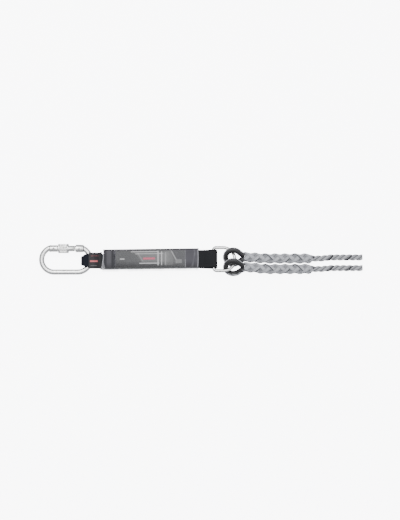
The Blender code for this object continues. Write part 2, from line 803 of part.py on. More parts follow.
def thimble_profile():
    """Channel section: x outwards from the eye, y across its thickness."""
    groove, back, lip = EYE_ROPE_DIAMETER / 2 + GAP, THIMBLE_HALF, THIMBLE_LIP
    edge = THIMBLE_EDGE
    points = [(lip - edge, back), (0, back)]
    points += arc((0, 0), back, 90, 270, 8)[1:-1]
    points += [(0, -back), (lip - edge, -back), (lip, -back + edge)]
    points += [(lip, -groove - edge), (lip - edge, -groove), (0, -groove)]
    points += arc((0, 0), groove, 270, 90, 8)[1:-1]
    points += [(0, groove), (lip - edge, groove), (lip, groove + edge)]
    points.append((lip, back - edge))
    return points


def channel(side, twist):
    """The channel swept along one arm. Its section rolls about the rope's line by the
    twist, in degrees, as far as the line runs along X."""
    section = bpy.data.curves.new("channel_section", "CURVE")
    section.dimensions = "2D"
    line = section.splines.new("POLY")
    profile = thimble_profile()
    line.points.add(len(profile) - 1)
    for i, (x, y) in enumerate(profile):
        line.points[i].co = (-side * x, y, 0.0, 1.0)
    line.use_cyclic_u = True
    shape = bpy.data.objects.new("channel_section", section)
    CUTTERS.objects.link(shape)
    shape.hide_render = True
    path = bpy.data.curves.new("channel", "CURVE")
    path.dimensions = "3D"
    path.twist_mode = "Z_UP"
    path.bevel_mode = "OBJECT"
    path.bevel_object = shape
    path.use_fill_caps = True
    route = path.splines.new("POLY")
    points = eye_path(180, 16)
    route.points.add(len(points) - 1)
    ahead = points[1:] + points[-1:]
    behind = points[:1] + points[:-1]
    for i, (x, y) in enumerate(points):
        along = Vector((ahead[i][0] - behind[i][0], ahead[i][1] - behind[i][1])).normalized()
        route.points[i].co = (x, side * y, 0.0, 1.0)
        route.points[i].tilt = math.radians(twist) * (0.0 if i == 0 else along.x)
    obj = bpy.data.objects.new("channel", path)
    PARTS.objects.link(obj)
    obj = as_mesh(obj)
    bpy.data.objects.remove(shape, do_unlink=True)
    return obj


def thimble(leg):
    """Grooved eye: two channels that meet at the crown and join at the throat."""
    twist = THIMBLE_LEAN - LEG_TILT[leg]
    eye = channel(1, twist)
    fuse(eye, channel(-1, twist))
    return eye


def rope_eye():
    """The rope where it lies in the thimble's groove."""
    half = eye_path(180, 11)
    points = [(x, -y, 0) for x, y in reversed(half[1:])]
    points += [(x, y, 0) for x, y in half]
    return tube("eye", points, EYE_ROPE_DIAMETER / 2, 12)


def leg_route(leg):
    """The rope's middle line from the eye's throat to its cut end, from the eye's middle."""
    pitch = math.radians(LEG_PITCH[leg])
    lean = math.sin(abs(pitch)) + math.sin(math.radians(abs(LEG_YAW[leg])))
    start = eye_end() + GAP + lean * SPLICE_DIAMETER / 2
    total = SPLICE_LENGTH + GAP + TAIL_LENGTH
    drop = SPLICE_DIAMETER / 2 + 0.2 * MM - LEG_HEIGHT[leg]
    low = ROPE_DIAMETER / 2 + 0.1 * MM - LEG_HEIGHT[leg]

    def point(s):
        """s metres past the throat."""
        down = ease(s / (SPLICE_LENGTH * 0.75))
        x = start * math.cos(pitch) + s
        y = SPLICE_DRIFT[leg] * ease(s / (SPLICE_LENGTH * 0.35))
        y += (TAIL_DRIFT[leg] - SPLICE_DRIFT[leg]) * ease((s - SPLICE_LENGTH) / TAIL_LENGTH)
        z = start * math.sin(pitch) * (1 - down) + drop * down
        z += (low - drop) * ease((s - SPLICE_LENGTH + SPLICE_TAPER) / (TAIL_LENGTH * 0.6))
        return (x, y, z)

    return point, total


def splice(leg):
    """Tucked section: it swells over each tuck and tapers into the rope."""
    point, _ = leg_route(leg)
    points, radii = [], []
    count = SPLICE_TUCKS * 5
    for i in range(count + 1):
        s = SPLICE_LENGTH * i / count
        swell = 1 - 0.06 * (0.5 + 0.5 * math.cos(2 * math.pi * SPLICE_TUCKS * i / count))
        narrow = ease((s - SPLICE_LENGTH + SPLICE_TAPER) / SPLICE_TAPER)
        width = swell + (ROPE_DIAMETER / SPLICE_DIAMETER - swell) * narrow
        points.append(point(s))
        radii.append(width)
    return tube("splice", points, SPLICE_DIAMETER / 2, 12, radii=radii)


def rope_tail(leg):
    """Free rope from the splice to its square cut end."""
    point, total = leg_route(leg)
    start = SPLICE_LENGTH + GAP
    points = [point(start + (total - start) * i / 10) for i in range(11)]
    return tube("tail", points, ROPE_DIAMETER / 2, 12)


def finishes():
    return {
        "steel": material("zinc_steel", (0.66, 0.66, 0.64), 0.32, 1.0),
        "spring": material("spring_steel", (0.45, 0.45, 0.47), 0.35, 1.0),
        "navy": material("navy_webbing", (0.018, 0.021, 0.031), 0.85),
        "wrap": material("wear_wrap", (0.02, 0.02, 0.022), 0.6),
        "tear": material("tear_webbing", (0.07, 0.065, 0.08), 0.85),
        "card": material("label_card", (0.13, 0.13, 0.14), 0.55),
        "film": material("clear_film", (0.75, 0.75, 0.77), 0.12, 0.0, 0.3),
        "black": material("black_webbing", (0.03, 0.03, 0.032), 0.85),
        "plastic": material("black_plastic", (0.03, 0.03, 0.032), 0.4),
        "rope": material("grey_rope", (0.42, 0.43, 0.44), 0.8),
    }


def build_carabiner(finish):
    """All in the oval's own frame, hung on the line that it swings about."""
    middle = Vector((ROD_X - OVAL_STRAIGHT - END_RADIUS, CARABINER_SIDE_SHIFT, LOOP_HEIGHT))
    swing = Vector((ROD_X - SWING_AXIS_INSET, CARABINER_SIDE_SHIFT, LOOP_HEIGHT))
    hinge = Vector((HINGE_PIVOT, GATE_SIDE, 0))
    body = pivot("carabiner_pivot", swing)
    gate = pivot("gate_pivot", middle + hinge, parent=body)
    steel = finish["steel"]
    pin_x = -NOSE_END - LATCH_PIN_SETBACK
    on_body = middle - swing
    as_part(carabiner_body(), "carabiner_body", steel, body, on_body)
    pin = cross_pin("pin", pin_x, LATCH_PIN_DIAMETER, NOSE_DIAMETER / 2)
    as_part(pin, "gate_latch_pin", steel, body, on_body)
    rivet = cross_pin("rivet", HINGE_PIVOT, RIVET_DIAMETER, HINGE_DIAMETER / 2 + 0.2 * MM)
    as_part(rivet, "gate_hinge_rivet", steel, body, on_body)
    as_part(carabiner_gate(), "carabiner_gate", steel, gate, -hinge)
    slide = pivot("plunger_pivot", middle + hinge, parent=gate)
    as_part(gate_plunger(), "gate_plunger", steel, slide, -hinge)
    as_part(gate_spring(), "gate_spring", finish["spring"], gate, -hinge)
    as_part(lock_sleeve(), "lock_sleeve", steel, gate, -hinge)


def build_pack(finish):
    side = (0, PACK_SIDE_SHIFT, 0)
    as_part(carabiner_loop(), "carabiner_loop", finish["navy"], None, (0, LOOP_SIDE_SHIFT, 0))
    as_part(loop_wrap(), "loop_wrap", finish["wrap"], None, (0, LOOP_SIDE_SHIFT, 0))
    as_part(tear_tape(1), "tear_webbing_upper", finish["tear"], None, side)
    as_part(tear_tape(-1), "tear_webbing_lower", finish["tear"], None, side)
    as_part(pack_label(), "pack_label", finish["card"], None, side)
    as_part(pack_film(), "pack_film", finish["film"], None, side)
    place = (PACK_END, RING_SIDE_SHIFT, RING_HEIGHT)
    as_part(ring_loop(), "ring_loop", finish["black"], None, place)


def build_ring_and_legs(finish):
    centre = Vector((RING_X, RING_SIDE_SHIFT, RING_HEIGHT))
    ring = pivot("ring_pivot", centre, (-RING_ROLL, RING_PITCH, 0))
    as_part(d_ring(), "d_ring", finish["steel"], ring)
    for leg in "ab":
        eye = Vector((RING_X + THIMBLE_REACH, RING_SIDE_SHIFT + LEG_SIDE[leg], LEG_HEIGHT[leg]))
        hub = pivot(f"leg_{leg}_pivot", eye, parent=ring)
        lean = (LEG_TILT[leg], -LEG_PITCH[leg], LEG_YAW[leg])
        for piece, name, look in (
            (thimble(leg), "thimble", finish["plastic"]),
            (rope_eye(), "rope_eye", finish["rope"]),
        ):
            piece.rotation_euler = [math.radians(angle) for angle in lean]
            as_part(piece, f"{name}_{leg}", look, hub)
        as_part(splice(leg), f"splice_{leg}", finish["rope"], hub)
        as_part(rope_tail(leg), f"rope_tail_{leg}", finish["rope"], hub)


def world_box(objects):
    """Lowest and highest corners of the finished shapes."""
    bpy.context.view_layer.update()
    graph = bpy.context.evaluated_depsgraph_get()
    corners = []
    for obj in objects:
        made = obj.evaluated_get(graph)
        mesh = made.to_mesh()
        corners += [made.matrix_world @ vertex.co for vertex in mesh.vertices]
        made.to_mesh_clear()
    low = Vector([min(corner[k] for corner in corners) for k in range(3)])
    high = Vector([max(corner[k] for corner in corners) for k in range(3)])
    return low, high


def stand_on_origin():
    """Puts the middle of the base, measured without the free rope, on the origin."""
    solids = [obj for obj in PARTS.objects if obj.type != "EMPTY"]
    low, high = world_box([obj for obj in solids if "tail" not in obj.name])
    shift = Vector(((low.x + high.x) / 2, (low.y + high.y) / 2, low.z))
    for obj in PARTS.objects:
        if obj.parent is None:
            obj.location -= shift
    bpy.context.view_layer.update()


clear_scene()
PARTS = new_collection("twin_lanyard")
CUTTERS = new_collection("cutters")
FINISHES = finishes()
build_carabiner(FINISHES)
build_pack(FINISHES)
build_ring_and_legs(FINISHES)
stand_on_origin()
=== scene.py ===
# Looks of the twin lanyard: nearly every piece is made again here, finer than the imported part, and the gate
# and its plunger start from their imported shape. Each gets a procedural finish. Lengths are in metres, in the
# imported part's own frame.
import json
import math

import bmesh
import bpy
import numpy as np
from mathutils import Matrix, Vector


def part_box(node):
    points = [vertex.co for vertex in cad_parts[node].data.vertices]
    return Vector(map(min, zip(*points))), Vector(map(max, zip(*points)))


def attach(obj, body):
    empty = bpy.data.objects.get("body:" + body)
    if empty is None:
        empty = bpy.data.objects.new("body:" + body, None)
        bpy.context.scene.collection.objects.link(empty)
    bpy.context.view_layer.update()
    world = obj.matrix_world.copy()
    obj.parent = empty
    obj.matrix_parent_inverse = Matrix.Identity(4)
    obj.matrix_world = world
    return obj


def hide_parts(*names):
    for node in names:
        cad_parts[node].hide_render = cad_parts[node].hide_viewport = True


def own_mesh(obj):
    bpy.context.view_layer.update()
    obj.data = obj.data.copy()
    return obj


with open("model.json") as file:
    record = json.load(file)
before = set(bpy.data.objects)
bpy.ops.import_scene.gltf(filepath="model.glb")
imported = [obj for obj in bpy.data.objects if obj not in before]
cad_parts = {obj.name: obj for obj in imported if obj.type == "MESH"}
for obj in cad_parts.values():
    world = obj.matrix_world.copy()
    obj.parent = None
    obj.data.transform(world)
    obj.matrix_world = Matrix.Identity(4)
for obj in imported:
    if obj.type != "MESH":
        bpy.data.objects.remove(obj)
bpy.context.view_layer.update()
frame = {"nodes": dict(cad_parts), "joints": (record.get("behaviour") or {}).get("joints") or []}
pi = math.pi
mm = 0.001
jointAt = {joint["name"]: np.array(joint["pos_m"]) for joint in frame["joints"] if "pos_m" in joint}


# One output of a shader node: arithmetic on it adds Math nodes
class Val:
    def __init__(self, net, socket):
        self.net, self.socket = net, socket

    def op(self, kind, *others):
        return self.net.math(kind, self, *others)

    def __add__(self, other):
        return self.op("ADD", other)

    def __radd__(self, other):
        return self.op("ADD", other)

    def __sub__(self, other):
        return self.op("SUBTRACT", other)

    def __rsub__(self, other):
        return self.net.math("SUBTRACT", other, self)

    def __mul__(self, other):
        return self.op("MULTIPLY", other)

    def __truediv__(self, other):
        return self.op("DIVIDE", other)

    def __pow__(self, other):
        return self.op("POWER", other)

    def abs(self):
        return self.op("ABSOLUTE")

    def fract(self):
        return self.op("FRACT")

    def floor(self):
        return self.op("FLOOR")

    def min(self, other):
        return self.op("MINIMUM", other)

    def max(self, other):
        return self.op("MAXIMUM", other)

    # Smooth step: start below low, end above high
    def ramp(self, low, high, start=0.0, end=1.0):
        values = {"Value": self, "From Min": low, "From Max": high, "To Min": start, "To Max": end}
        return self.net.add("ShaderNodeMapRange", {"interpolation_type": "SMOOTHSTEP"}, values)

    # 1 between low and high, 0 outside, with soft edges
    def band(self, low, high, soft):
        return self.ramp(low - soft, low + soft) * self.ramp(high - soft, high + soft, 1.0, 0.0)


# A new material with one Principled surface
class Net:
    def __init__(self, name):
        self.mat = bpy.data.materials.new(name)
        self.mat.use_nodes = True
        self.tree = self.mat.node_tree
        self.bsdf = self.tree.nodes["Principled BSDF"]

    # Any node: its settings first, then the values or links of its sockets
    def add(self, kind, settings=None, values=None, out=0):
        node = self.tree.nodes.new(kind)
        for key, setting in (settings or {}).items():
            setattr(node, key, setting)
        for key, value in (values or {}).items():
            self.feed(node.inputs[key], value)
        return Val(self, node.outputs[out])

    def math(self, kind, *values):
        return self.add("ShaderNodeMath", {"operation": kind}, dict(enumerate(values)))

    def feed(self, socket, value):
        if isinstance(value, Val):
            self.tree.links.new(value.socket, socket)
        elif isinstance(value, tuple) and len(value) == 3 and socket.type == "RGBA":
            socket.default_value = (*value, 1.0)
        else:
            socket.default_value = value

    # Object coordinates in metres: x, y, z and the vector
    def coords(self):
        place = self.add("ShaderNodeTexCoord", out="Object")
        return self.split(place) + (place,)

    # The piece's own UV map, in metres or in strands
    def uv(self):
        return self.split(self.add("ShaderNodeUVMap", {"uv_map": "place"}))[:2]

    def split(self, vector):
        node = self.add("ShaderNodeSeparateXYZ", {}, {0: vector}).socket.node
        return tuple(Val(self, node.outputs[k]) for k in range(3))

    def join(self, x, y, z=0.0):
        return self.add("ShaderNodeCombineXYZ", {}, {0: x, 1: y, 2: z})

    def noise(self, where, scale, detail=2.0, rough=0.5):
        values = {"Vector": where, "Scale": scale, "Detail": detail, "Roughness": rough}
        return self.add("ShaderNodeTexNoise", {}, values)

    def mix(self, factor, first, second):
        node = self.add("ShaderNodeMix", {"data_type": "RGBA"}).socket.node
        self.feed(node.inputs["Factor"], factor)
        self.feed(node.inputs[6], first)
        self.feed(node.inputs[7], second)
        return Val(self, node.outputs[2])

    # Colours laid over one another: each row says where, from 0 to 1, and what
    def paint(self, colour, *rows):
        for where, over in rows:
            colour = self.mix(where, colour, over)
        return colour

    def bump(self, height, strength, distance):
        return self.add("ShaderNodeBump", {}, {"Height": height, "Strength": strength, "Distance": distance})

    # Sets the Principled inputs, spaces written as underscores
    def surface(self, **values):
        for key, value in values.items():
            self.feed(self.bsdf.inputs[key.replace("_", " ")], value)
        return self.mat


# Smooth step from 0 to 1: 3 t squared minus 2 t cubed
def ease(t):
    t = np.clip(t, 0.0, 1.0)
    return t * t * (3 - 2 * t)


# Object from arrays of corners and faces, turned outward by the sign of its volume
def buildMesh(name, verts, quads, quadUv, tris=None, triUv=None):
    if tris is None:
        tris, triUv = np.zeros((0, 3), int), np.zeros((0, 2))
    a, b, c, d = (verts[quads[:, k]] for k in range(4))
    volume = np.einsum("ij,ij->", a, np.cross(b, c)) + np.einsum("ij,ij->", a, np.cross(c, d))
    p, q, r = (verts[tris[:, k]] for k in range(3))
    volume += np.einsum("ij,ij->", p, np.cross(q, r))
    if volume < 0:
        quads, tris = quads[:, ::-1], tris[:, ::-1]
        quadUv = quadUv.reshape(-1, 4, 2)[:, ::-1].reshape(-1, 2)
    mesh = bpy.data.meshes.new(name)
    mesh.vertices.add(len(verts))
    mesh.vertices.foreach_set("co", np.ascontiguousarray(verts, np.float32).ravel())
    loops = np.concatenate([quads.ravel(), tris.ravel()]).astype(np.int32)
    mesh.loops.add(len(loops))
    mesh.loops.foreach_set("vertex_index", loops)
    sizes = np.concatenate([np.full(len(quads), 4), np.full(len(tris), 3)])
    mesh.polygons.add(len(sizes))
    mesh.polygons.foreach_set("loop_start", (np.cumsum(sizes) - sizes).astype(np.int32))
    mesh.update(calc_edges=True)
    layer = mesh.uv_layers.new(name="place")
    layer.data.foreach_set("uv", np.concatenate([quadUv, triUv]).astype(np.float32).ravel())
    mesh.validate()
    obj = bpy.data.objects.new(name, mesh)
    bpy.context.scene.collection.objects.link(obj)
    smooth(obj)
    return obj


# Mesh of a (nu, nv, 3) grid, closed across v. uv has one more row than the grid wherever it closes, so that
# seams keep their values. An open end is shut by a fan round its middle.
def gridMesh(name, points, uv, closeU=False, closeV=True):
    nu, nv = points.shape[:2]
    countU, countV = (nu if closeU else nu - 1), (nv if closeV else nv - 1)
    i, j = np.meshgrid(np.arange(countU), np.arange(countV), indexing="ij")
    i2, j2 = (i + 1) % nu, (j + 1) % nv
    quads = np.stack([i * nv + j, i2 * nv + j, i2 * nv + j2, i * nv + j2], -1).reshape(-1, 4)
    corner = np.stack([uv[i, j], uv[i + 1, j], uv[i + 1, j + 1], uv[i, j + 1]], 2).reshape(-1, 2)
    verts = points.reshape(-1, 3)
    if closeU or not closeV:
        return buildMesh(name, verts, quads, corner)
    verts = np.concatenate([verts, [points[0].mean(0), points[-1].mean(0)]])
    ring = np.arange(nv)
    after = (ring + 1) % nv
    first = np.stack([np.full(nv, nu * nv), ring, after], -1)
    last = np.stack([np.full(nv, nu * nv + 1), (nu - 1) * nv + after, (nu - 1) * nv + ring], -1)
    flat = np.repeat(uv[[0, -1], :nv].reshape(-1, 1, 2), 3, 1).reshape(-1, 2)
    return buildMesh(name, verts, quads, corner, np.concatenate([first, last]), flat)


def readPoints(obj):
    co = np.empty(len(obj.data.vertices) * 3, np.float32)
    obj.data.vertices.foreach_get("co", co)
    return co.reshape(-1, 3).astype(float)


def writePoints(obj, co):
    obj.data.vertices.foreach_set("co", co.astype(np.float32).ravel())
    obj.data.update()


def smooth(obj, angle=35):
    obj.data.shade_smooth()
    obj.data.set_sharp_from_angle(angle=math.radians(angle))


def gridUv(u, v):
    return np.stack(np.meshgrid(u, v, indexing="ij"), -1)


# Distance along a path at each of its points
def lengths(path):
    return np.concatenate([[0.0], np.cumsum(np.linalg.norm(np.diff(path, axis=0), axis=1))])


# The same path at evenly spaced points
def even(path, count):
    path = np.asarray(path, float)
    s = lengths(path)
    at = np.linspace(0, s[-1], count)
    return np.stack([np.interp(at, s, path[:, k]) for k in range(path.shape[1])], 1)


def unit(vectors):
    return vectors / np.linalg.norm(vectors, axis=-1, keepdims=True)


# Unit tangents of a line in a plane, and its normals a quarter turn on
def flatNormals(line):
    tangent = unit(np.gradient(line, axis=0))
    return tangent, np.stack([-tangent[:, 1], tangent[:, 0]], 1)


# Tangent, side and up vectors along a path, with up as near the given one as it can be
def frames(path, up=(0, 0, 1)):
    tangent = unit(np.gradient(np.asarray(path, float), axis=0))
    side = unit(np.cross(np.broadcast_to(np.asarray(up, float), tangent.shape), tangent))
    return tangent, side, np.cross(tangent, side)


# Points of a profile (nu, nv) carried along a path (nu, 3): path + across * side + upward * up
def carry(path, across, upward, up=(0, 0, 1), closed=False):
    path = np.asarray(path, float)
    if closed:
        _, side, over = (v[2:-2] for v in frames(np.concatenate([path[-2:], path, path[:2]]), up))
    else:
        _, side, over = frames(path, up)
    return path[:, None] + across[..., None] * side[:, None] + upward[..., None] * over[:, None]


# Round bar: a circle carried along the path, its radius one number or one for each point
def tubeAlong(name, path, radius, sides=40, closed=False, up=(0, 0, 1)):
    path = np.asarray(path, float)
    a = np.linspace(0, 2 * pi, sides, endpoint=False)
    r = np.broadcast_to(np.asarray(radius, float), (len(path),))[:, None]
    points = carry(path, r * np.cos(a), r * np.sin(a), up, closed)
    s = lengths(path)
    u = np.append(s, s[-1] + s[1]) if closed else s
    return gridMesh(name, points, gridUv(u, np.linspace(0, 1, sides + 1)), closed)


# Turned piece: (place along the axis, radius) points round a circle. ripple(place, angle) adds to the radius.
def turned(name, profile, centre, axis=0, sides=64, ripple=None):
    profile = np.asarray(profile, float)
    a = np.linspace(0, 2 * pi, sides, endpoint=False)
    r = np.repeat(profile[:, 1:2], sides, 1)
    if ripple is not None:
        r = r + ripple(profile[:, 0:1], a[None])
    along = np.repeat(profile[:, 0:1], sides, 1)
    points = np.roll(np.stack([along, r * np.cos(a), r * np.sin(a)], -1), axis, -1) + np.asarray(centre)
    s = lengths(profile)
    if np.allclose(profile[0], profile[-1]):
        return gridMesh(name, points[:-1], gridUv(s, np.linspace(0, 1, sides + 1)), True)
    return gridMesh(name, points, gridUv(s, np.linspace(0, 1, sides + 1)))


# A polyline in a plane with each corner replaced by a small quadratic curve
def rounded(points, radius, steps=4, closed=False):
    points = np.asarray(points, float)
    t = np.linspace(0, 1, steps + 1)[:, None]
    out = []
    for k, here in enumerate(points):
        if not closed and k in (0, len(points) - 1):
            out.append(here)
            continue
        before, after = points[k - 1] - here, points[(k + 1) % len(points)] - here
        cut = min(radius, np.linalg.norm(before) * 0.45, np.linalg.norm(after) * 0.45)
        p, q = here + unit(before) * cut, here + unit(after) * cut
        out.extend((1 - t) ** 2 * p + 2 * t * (1 - t) * here + t**2 * q)
    return np.array(out)


# Points of an arc, angles in degrees
def arcPoints(cx, cy, rx, ry, start, end, count):
    a = np.radians(np.linspace(start, end, count))
    return np.stack([cx + rx * np.cos(a), cy + ry * np.sin(a)], 1)


# obj minus the cutters, as a plain mesh
def carve(obj, cutters):
    for cutter in cutters:
        step = obj.modifiers.new("Cut", "BOOLEAN")
        step.operation, step.solver, step.object = "DIFFERENCE", "EXACT", cutter
    bpy.context.view_layer.update()
    graph = bpy.context.evaluated_depsgraph_get()
    made = bpy.data.meshes.new_from_object(obj.evaluated_get(graph))
    obj.modifiers.clear()
    obj.data = made
    for cutter in cutters:
        bpy.data.objects.remove(cutter, do_unlink=True)
    smooth(obj)


def block(name, low, high):
    low, high = np.asarray(low, float), np.asarray(high, float)
    pick = np.array([[0, 0, 0], [1, 0, 0], [1, 1, 0], [0, 1, 0], [0, 0, 1], [1, 0, 1], [1, 1, 1], [0, 1, 1]])
    quads = np.array([[0, 3, 2, 1], [4, 5, 6, 7], [0, 1, 5, 4], [1, 2, 6, 5], [2, 3, 7, 6], [3, 0, 4, 7]])
    return buildMesh(name, low + pick * (high - low), quads, np.zeros((24, 2)))


# Several closed grids as one object
def joinGrids(name, pieces):
    made = [gridMesh(name, points, uv) for points, uv in pieces]
    work = bmesh.new()
    for obj in made:
        work.from_mesh(obj.data)
    work.to_mesh(made[0].data)
    work.free()
    for obj in made[1:]:
        bpy.data.objects.remove(obj, do_unlink=True)
    smooth(made[0], 60)
    return made[0]


# Finish, body, slot (not used) and the imported nodes that the piece stands for
def dress(obj, material, body, slot, *nodes):
    obj.data.materials.clear()
    obj.data.materials.append(material)
    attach(obj, body)
    if nodes:
        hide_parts(*nodes)
    return obj


# Plated steel: a slow cloud in tint and gloss, with a fine grain
def steelLook(name, tint, rough=0.3, grain=0.2):
    net = Net(name)
    _, _, _, place = net.coords()
    cloud = net.noise(place, 260.0, 3.0)
    fine = net.noise(place, 2600.0, 2.0)
    colour = net.mix(cloud.ramp(0.3, 0.75), tint, tuple(c * 0.84 for c in tint))
    normal = net.bump(fine + cloud * 0.6, grain, 0.00008)
    gloss = rough + cloud * 0.16 + fine * 0.05
    return net.surface(Base_Color=colour, Metallic=1.0, Roughness=gloss, Normal=normal)


# Woven tape: uv is (across, along) in metres. Ribs run across it, split into slanted picks; half is the
# middle to the edge, where a tighter row stands.
def webbingLook(name, tint, light, half, pitch=1.5 * mm):
    net = Net(name)
    u, v = net.uv()
    row = v / pitch
    lean = u / (pitch * 1.15) + row.floor() * 0.5
    rib = (row.fract() - 0.5).abs() * 2
    pick = (lean.fract() - 0.5).abs() * 2
    edge = u.abs().band(half - 2.2 * mm, half - 1.6 * mm, 0.25 * mm)
    height = (1 - rib * rib) * 0.6 + (1 - pick * pick) * 0.5 - edge * 0.8
    wear = net.noise(net.join(u, v), 420.0, 4.0)
    fold = net.noise(net.join(u * 0.3, v), 60.0, 3.0)
    colour = net.mix((height * 0.6 + wear * 0.4 + fold * 0.5 - edge * 0.4).ramp(0.3, 1.4), tint, light)
    normal = net.bump(height + wear * 0.3 + fold * 1.5, 0.6, 0.0003)
    return net.surface(Base_Color=colour, Roughness=0.88, Normal=normal, Specular_IOR_Level=0.12)


# Laid rope: u runs round one strand from its crown, -1 to 1, plus 2 for each next strand; v is metres along
# it. Yarns slant across each strand, and painted shade darkens the sides of a strand towards the valley.
def ropeLook(name, tint, shade, depth, tracer, valleyShade):
    net = Net(name)
    u, v = net.uv()
    strand = (u * 0.5 + 0.5).floor()
    local = u - strand * 2
    yarn = ((local * 4.0 + v * 230.0).fract() - 0.5).abs() * 2
    fibre = net.noise(net.join(local * 0.02, v, strand), 900.0, 3.0, 0.7)
    tone = net.noise(net.join(strand * 0.37, v), 55.0, 2.0)
    ridge = 1 - yarn**2.0
    valley = local.abs().ramp(depth[0], depth[1])
    colour = net.mix((ridge * 0.5 + fibre * 0.6 + tone * 0.5).ramp(0.3, 1.3), shade, tint)
    # painted shade: the strand's sides go towards a quarter of the shade tint in the valleys between strands
    colour = net.mix(valley * valleyShade, colour, tuple(c * 0.25 for c in shade))
    line = local.band(tracer[0], tracer[1], 0.03) * strand.band(-0.5, 0.5, 0.1)
    colour = net.mix(line * 0.97, colour, (0.006, 0.006, 0.008))
    normal = net.bump(ridge + fibre * 0.5, 0.6, 0.0003)
    return net.surface(Base_Color=colour, Roughness=0.85, Normal=normal, Specular_IOR_Level=0.25)


# Moulded plastic with faint scuffs
def plasticLook(name, tint, rough=0.42):
    net = Net(name)
    _, _, _, place = net.coords()
    cloud = net.noise(place, 500.0, 3.0)
    scuff = net.noise(place, 90.0, 4.0, 0.7)
    colour = net.mix(scuff.ramp(0.45, 0.8), tint, tuple(c * 1.8 for c in tint))
    normal = net.bump(cloud, 0.12, 0.0001)
    gloss = rough + cloud * 0.14
    return net.surface(Base_Color=colour, Roughness=gloss, Normal=normal, Specular_IOR_Level=0.35)


# Rope tints: light, shade, where the painted valley shade starts and ends across a strand, the tracer's place
# across a strand, and how strong the painted valley shade is
freeRope = (0.39, 0.394, 0.412), (0.18, 0.185, 0.203), (0.45, 1.0), (0.1, 0.75), 0.7
tuckedRope = (0.43, 0.437, 0.46), (0.19, 0.197, 0.22), (0.12, 0.36), (0.12, 0.26), 0.42
looks = {
    "steel": steelLook("zincSteel", (0.80, 0.80, 0.785), 0.21),
    "ring": steelLook("ringSteel", (0.70, 0.70, 0.69), 0.19),
    "sleeve": steelLook("sleeveSteel", (0.72, 0.72, 0.71), 0.26),
    "pin": steelLook("pinSteel", (0.30, 0.30, 0.30), 0.4),
    "spring": steelLook("springSteel", (0.36, 0.36, 0.38), 0.3),
    "navy": webbingLook("navyWebbing", (0.004, 0.0048, 0.0075), (0.011, 0.013, 0.0195), 13.5 * mm),
    "black": webbingLook("blackWebbing", (0.006, 0.006, 0.0072), (0.018, 0.0185, 0.0205), 17.7 * mm),
    "tear": webbingLook("tearWebbing", (0.062, 0.06, 0.074), (0.14, 0.135, 0.16), 17.3 * mm, 2.2 * mm),
    "rope": ropeLook("greyRope", *freeRope),
    "splice": ropeLook("splicedRope", *tuckedRope),
    "plastic": plasticLook("blackPlastic", (0.011, 0.011, 0.012)),
}
print("finishes made")

stageSizes = {
    "distance": 3.0,  # camera above the floor
    "viewHeight": 520 * 1.92 * mm,  # what the frame's long side sees at the floor
    "centreX": (200 - 175.15) * 1.92 * mm,
    "centreY": 0.2 * mm,
    "floorGlow": 8.0,
    "surround": 0.6,  # brightness of the room beyond the lamps
    "lamps": {  # width, power in watts, place and aim
        "topLight": (2.0, 57.0, (0.0, 0.5, 1.9), (0.0, 0.0, 0.0)),
        "keyLight": (0.7, 15.0, (-0.5, 1.0, 1.5), (0.05, 0.0, 0.0)),
        "sideLight": (0.7, 5.0, (1.4, -0.9, 1.1), (0.05, 0.0, 0.0)),
    },
}


# Camera straight above, pale floor and soft lamps
def makeStage():
    z = stageSizes
    cam = bpy.data.objects.new("camera", bpy.data.cameras.new("camera"))
    bpy.context.scene.collection.objects.link(cam)
    cam.data.sensor_width = 36.0
    cam.data.lens = 36.0 * z["distance"] / z["viewHeight"]
    cam.data.clip_start, cam.data.clip_end = 0.1, 30.0
    cam.location = (z["centreX"], z["centreY"], z["distance"])
    bpy.context.scene.camera = cam
    a = np.array([-6.0, 6.0])
    x, y = np.meshgrid(a, a, indexing="ij")
    floor = gridMesh("floor", np.stack([x, y, x * 0 - 0.0006], -1), gridUv(a, a), closeV=False)
    net = Net("floorPaper")
    _, _, _, place = net.coords()
    colour = net.mix(net.noise(place, 3.0).ramp(0.2, 0.8), (0.60, 0.60, 0.605), (0.62, 0.62, 0.625))
    net.surface(
        Base_Color=colour,
        Roughness=0.9,
        Emission_Color=(0.975, 0.98, 1.0),
        Emission_Strength=z["floorGlow"],
        Specular_IOR_Level=0.0,
    )
    net.mat.cycles.emission_sampling = "NONE"
    floor.data.materials.append(net.mat)
    floor.visible_glossy = False
    floor.visible_diffuse = False
    for name, (width, power, place, aim) in z["lamps"].items():
        data = bpy.data.lights.new(name, "AREA")
        data.shape, data.size, data.energy = "SQUARE", width, power
        lamp = bpy.data.objects.new(name, data)
        lamp.location = place
        lamp.rotation_euler = (Vector(aim) - Vector(place)).to_track_quat("-Z", "Y").to_euler()
        bpy.context.scene.collection.objects.link(lamp)
    world = bpy.data.worlds.new("studio")
    world.use_nodes = True
    world.node_tree.nodes["Background"].inputs[0].default_value = (0.93, 0.95, 1.0, 1)
    world.node_tree.nodes["Background"].inputs[1].default_value = z["surround"]
    bpy.context.scene.world = world


makeStage()
print("stage made")

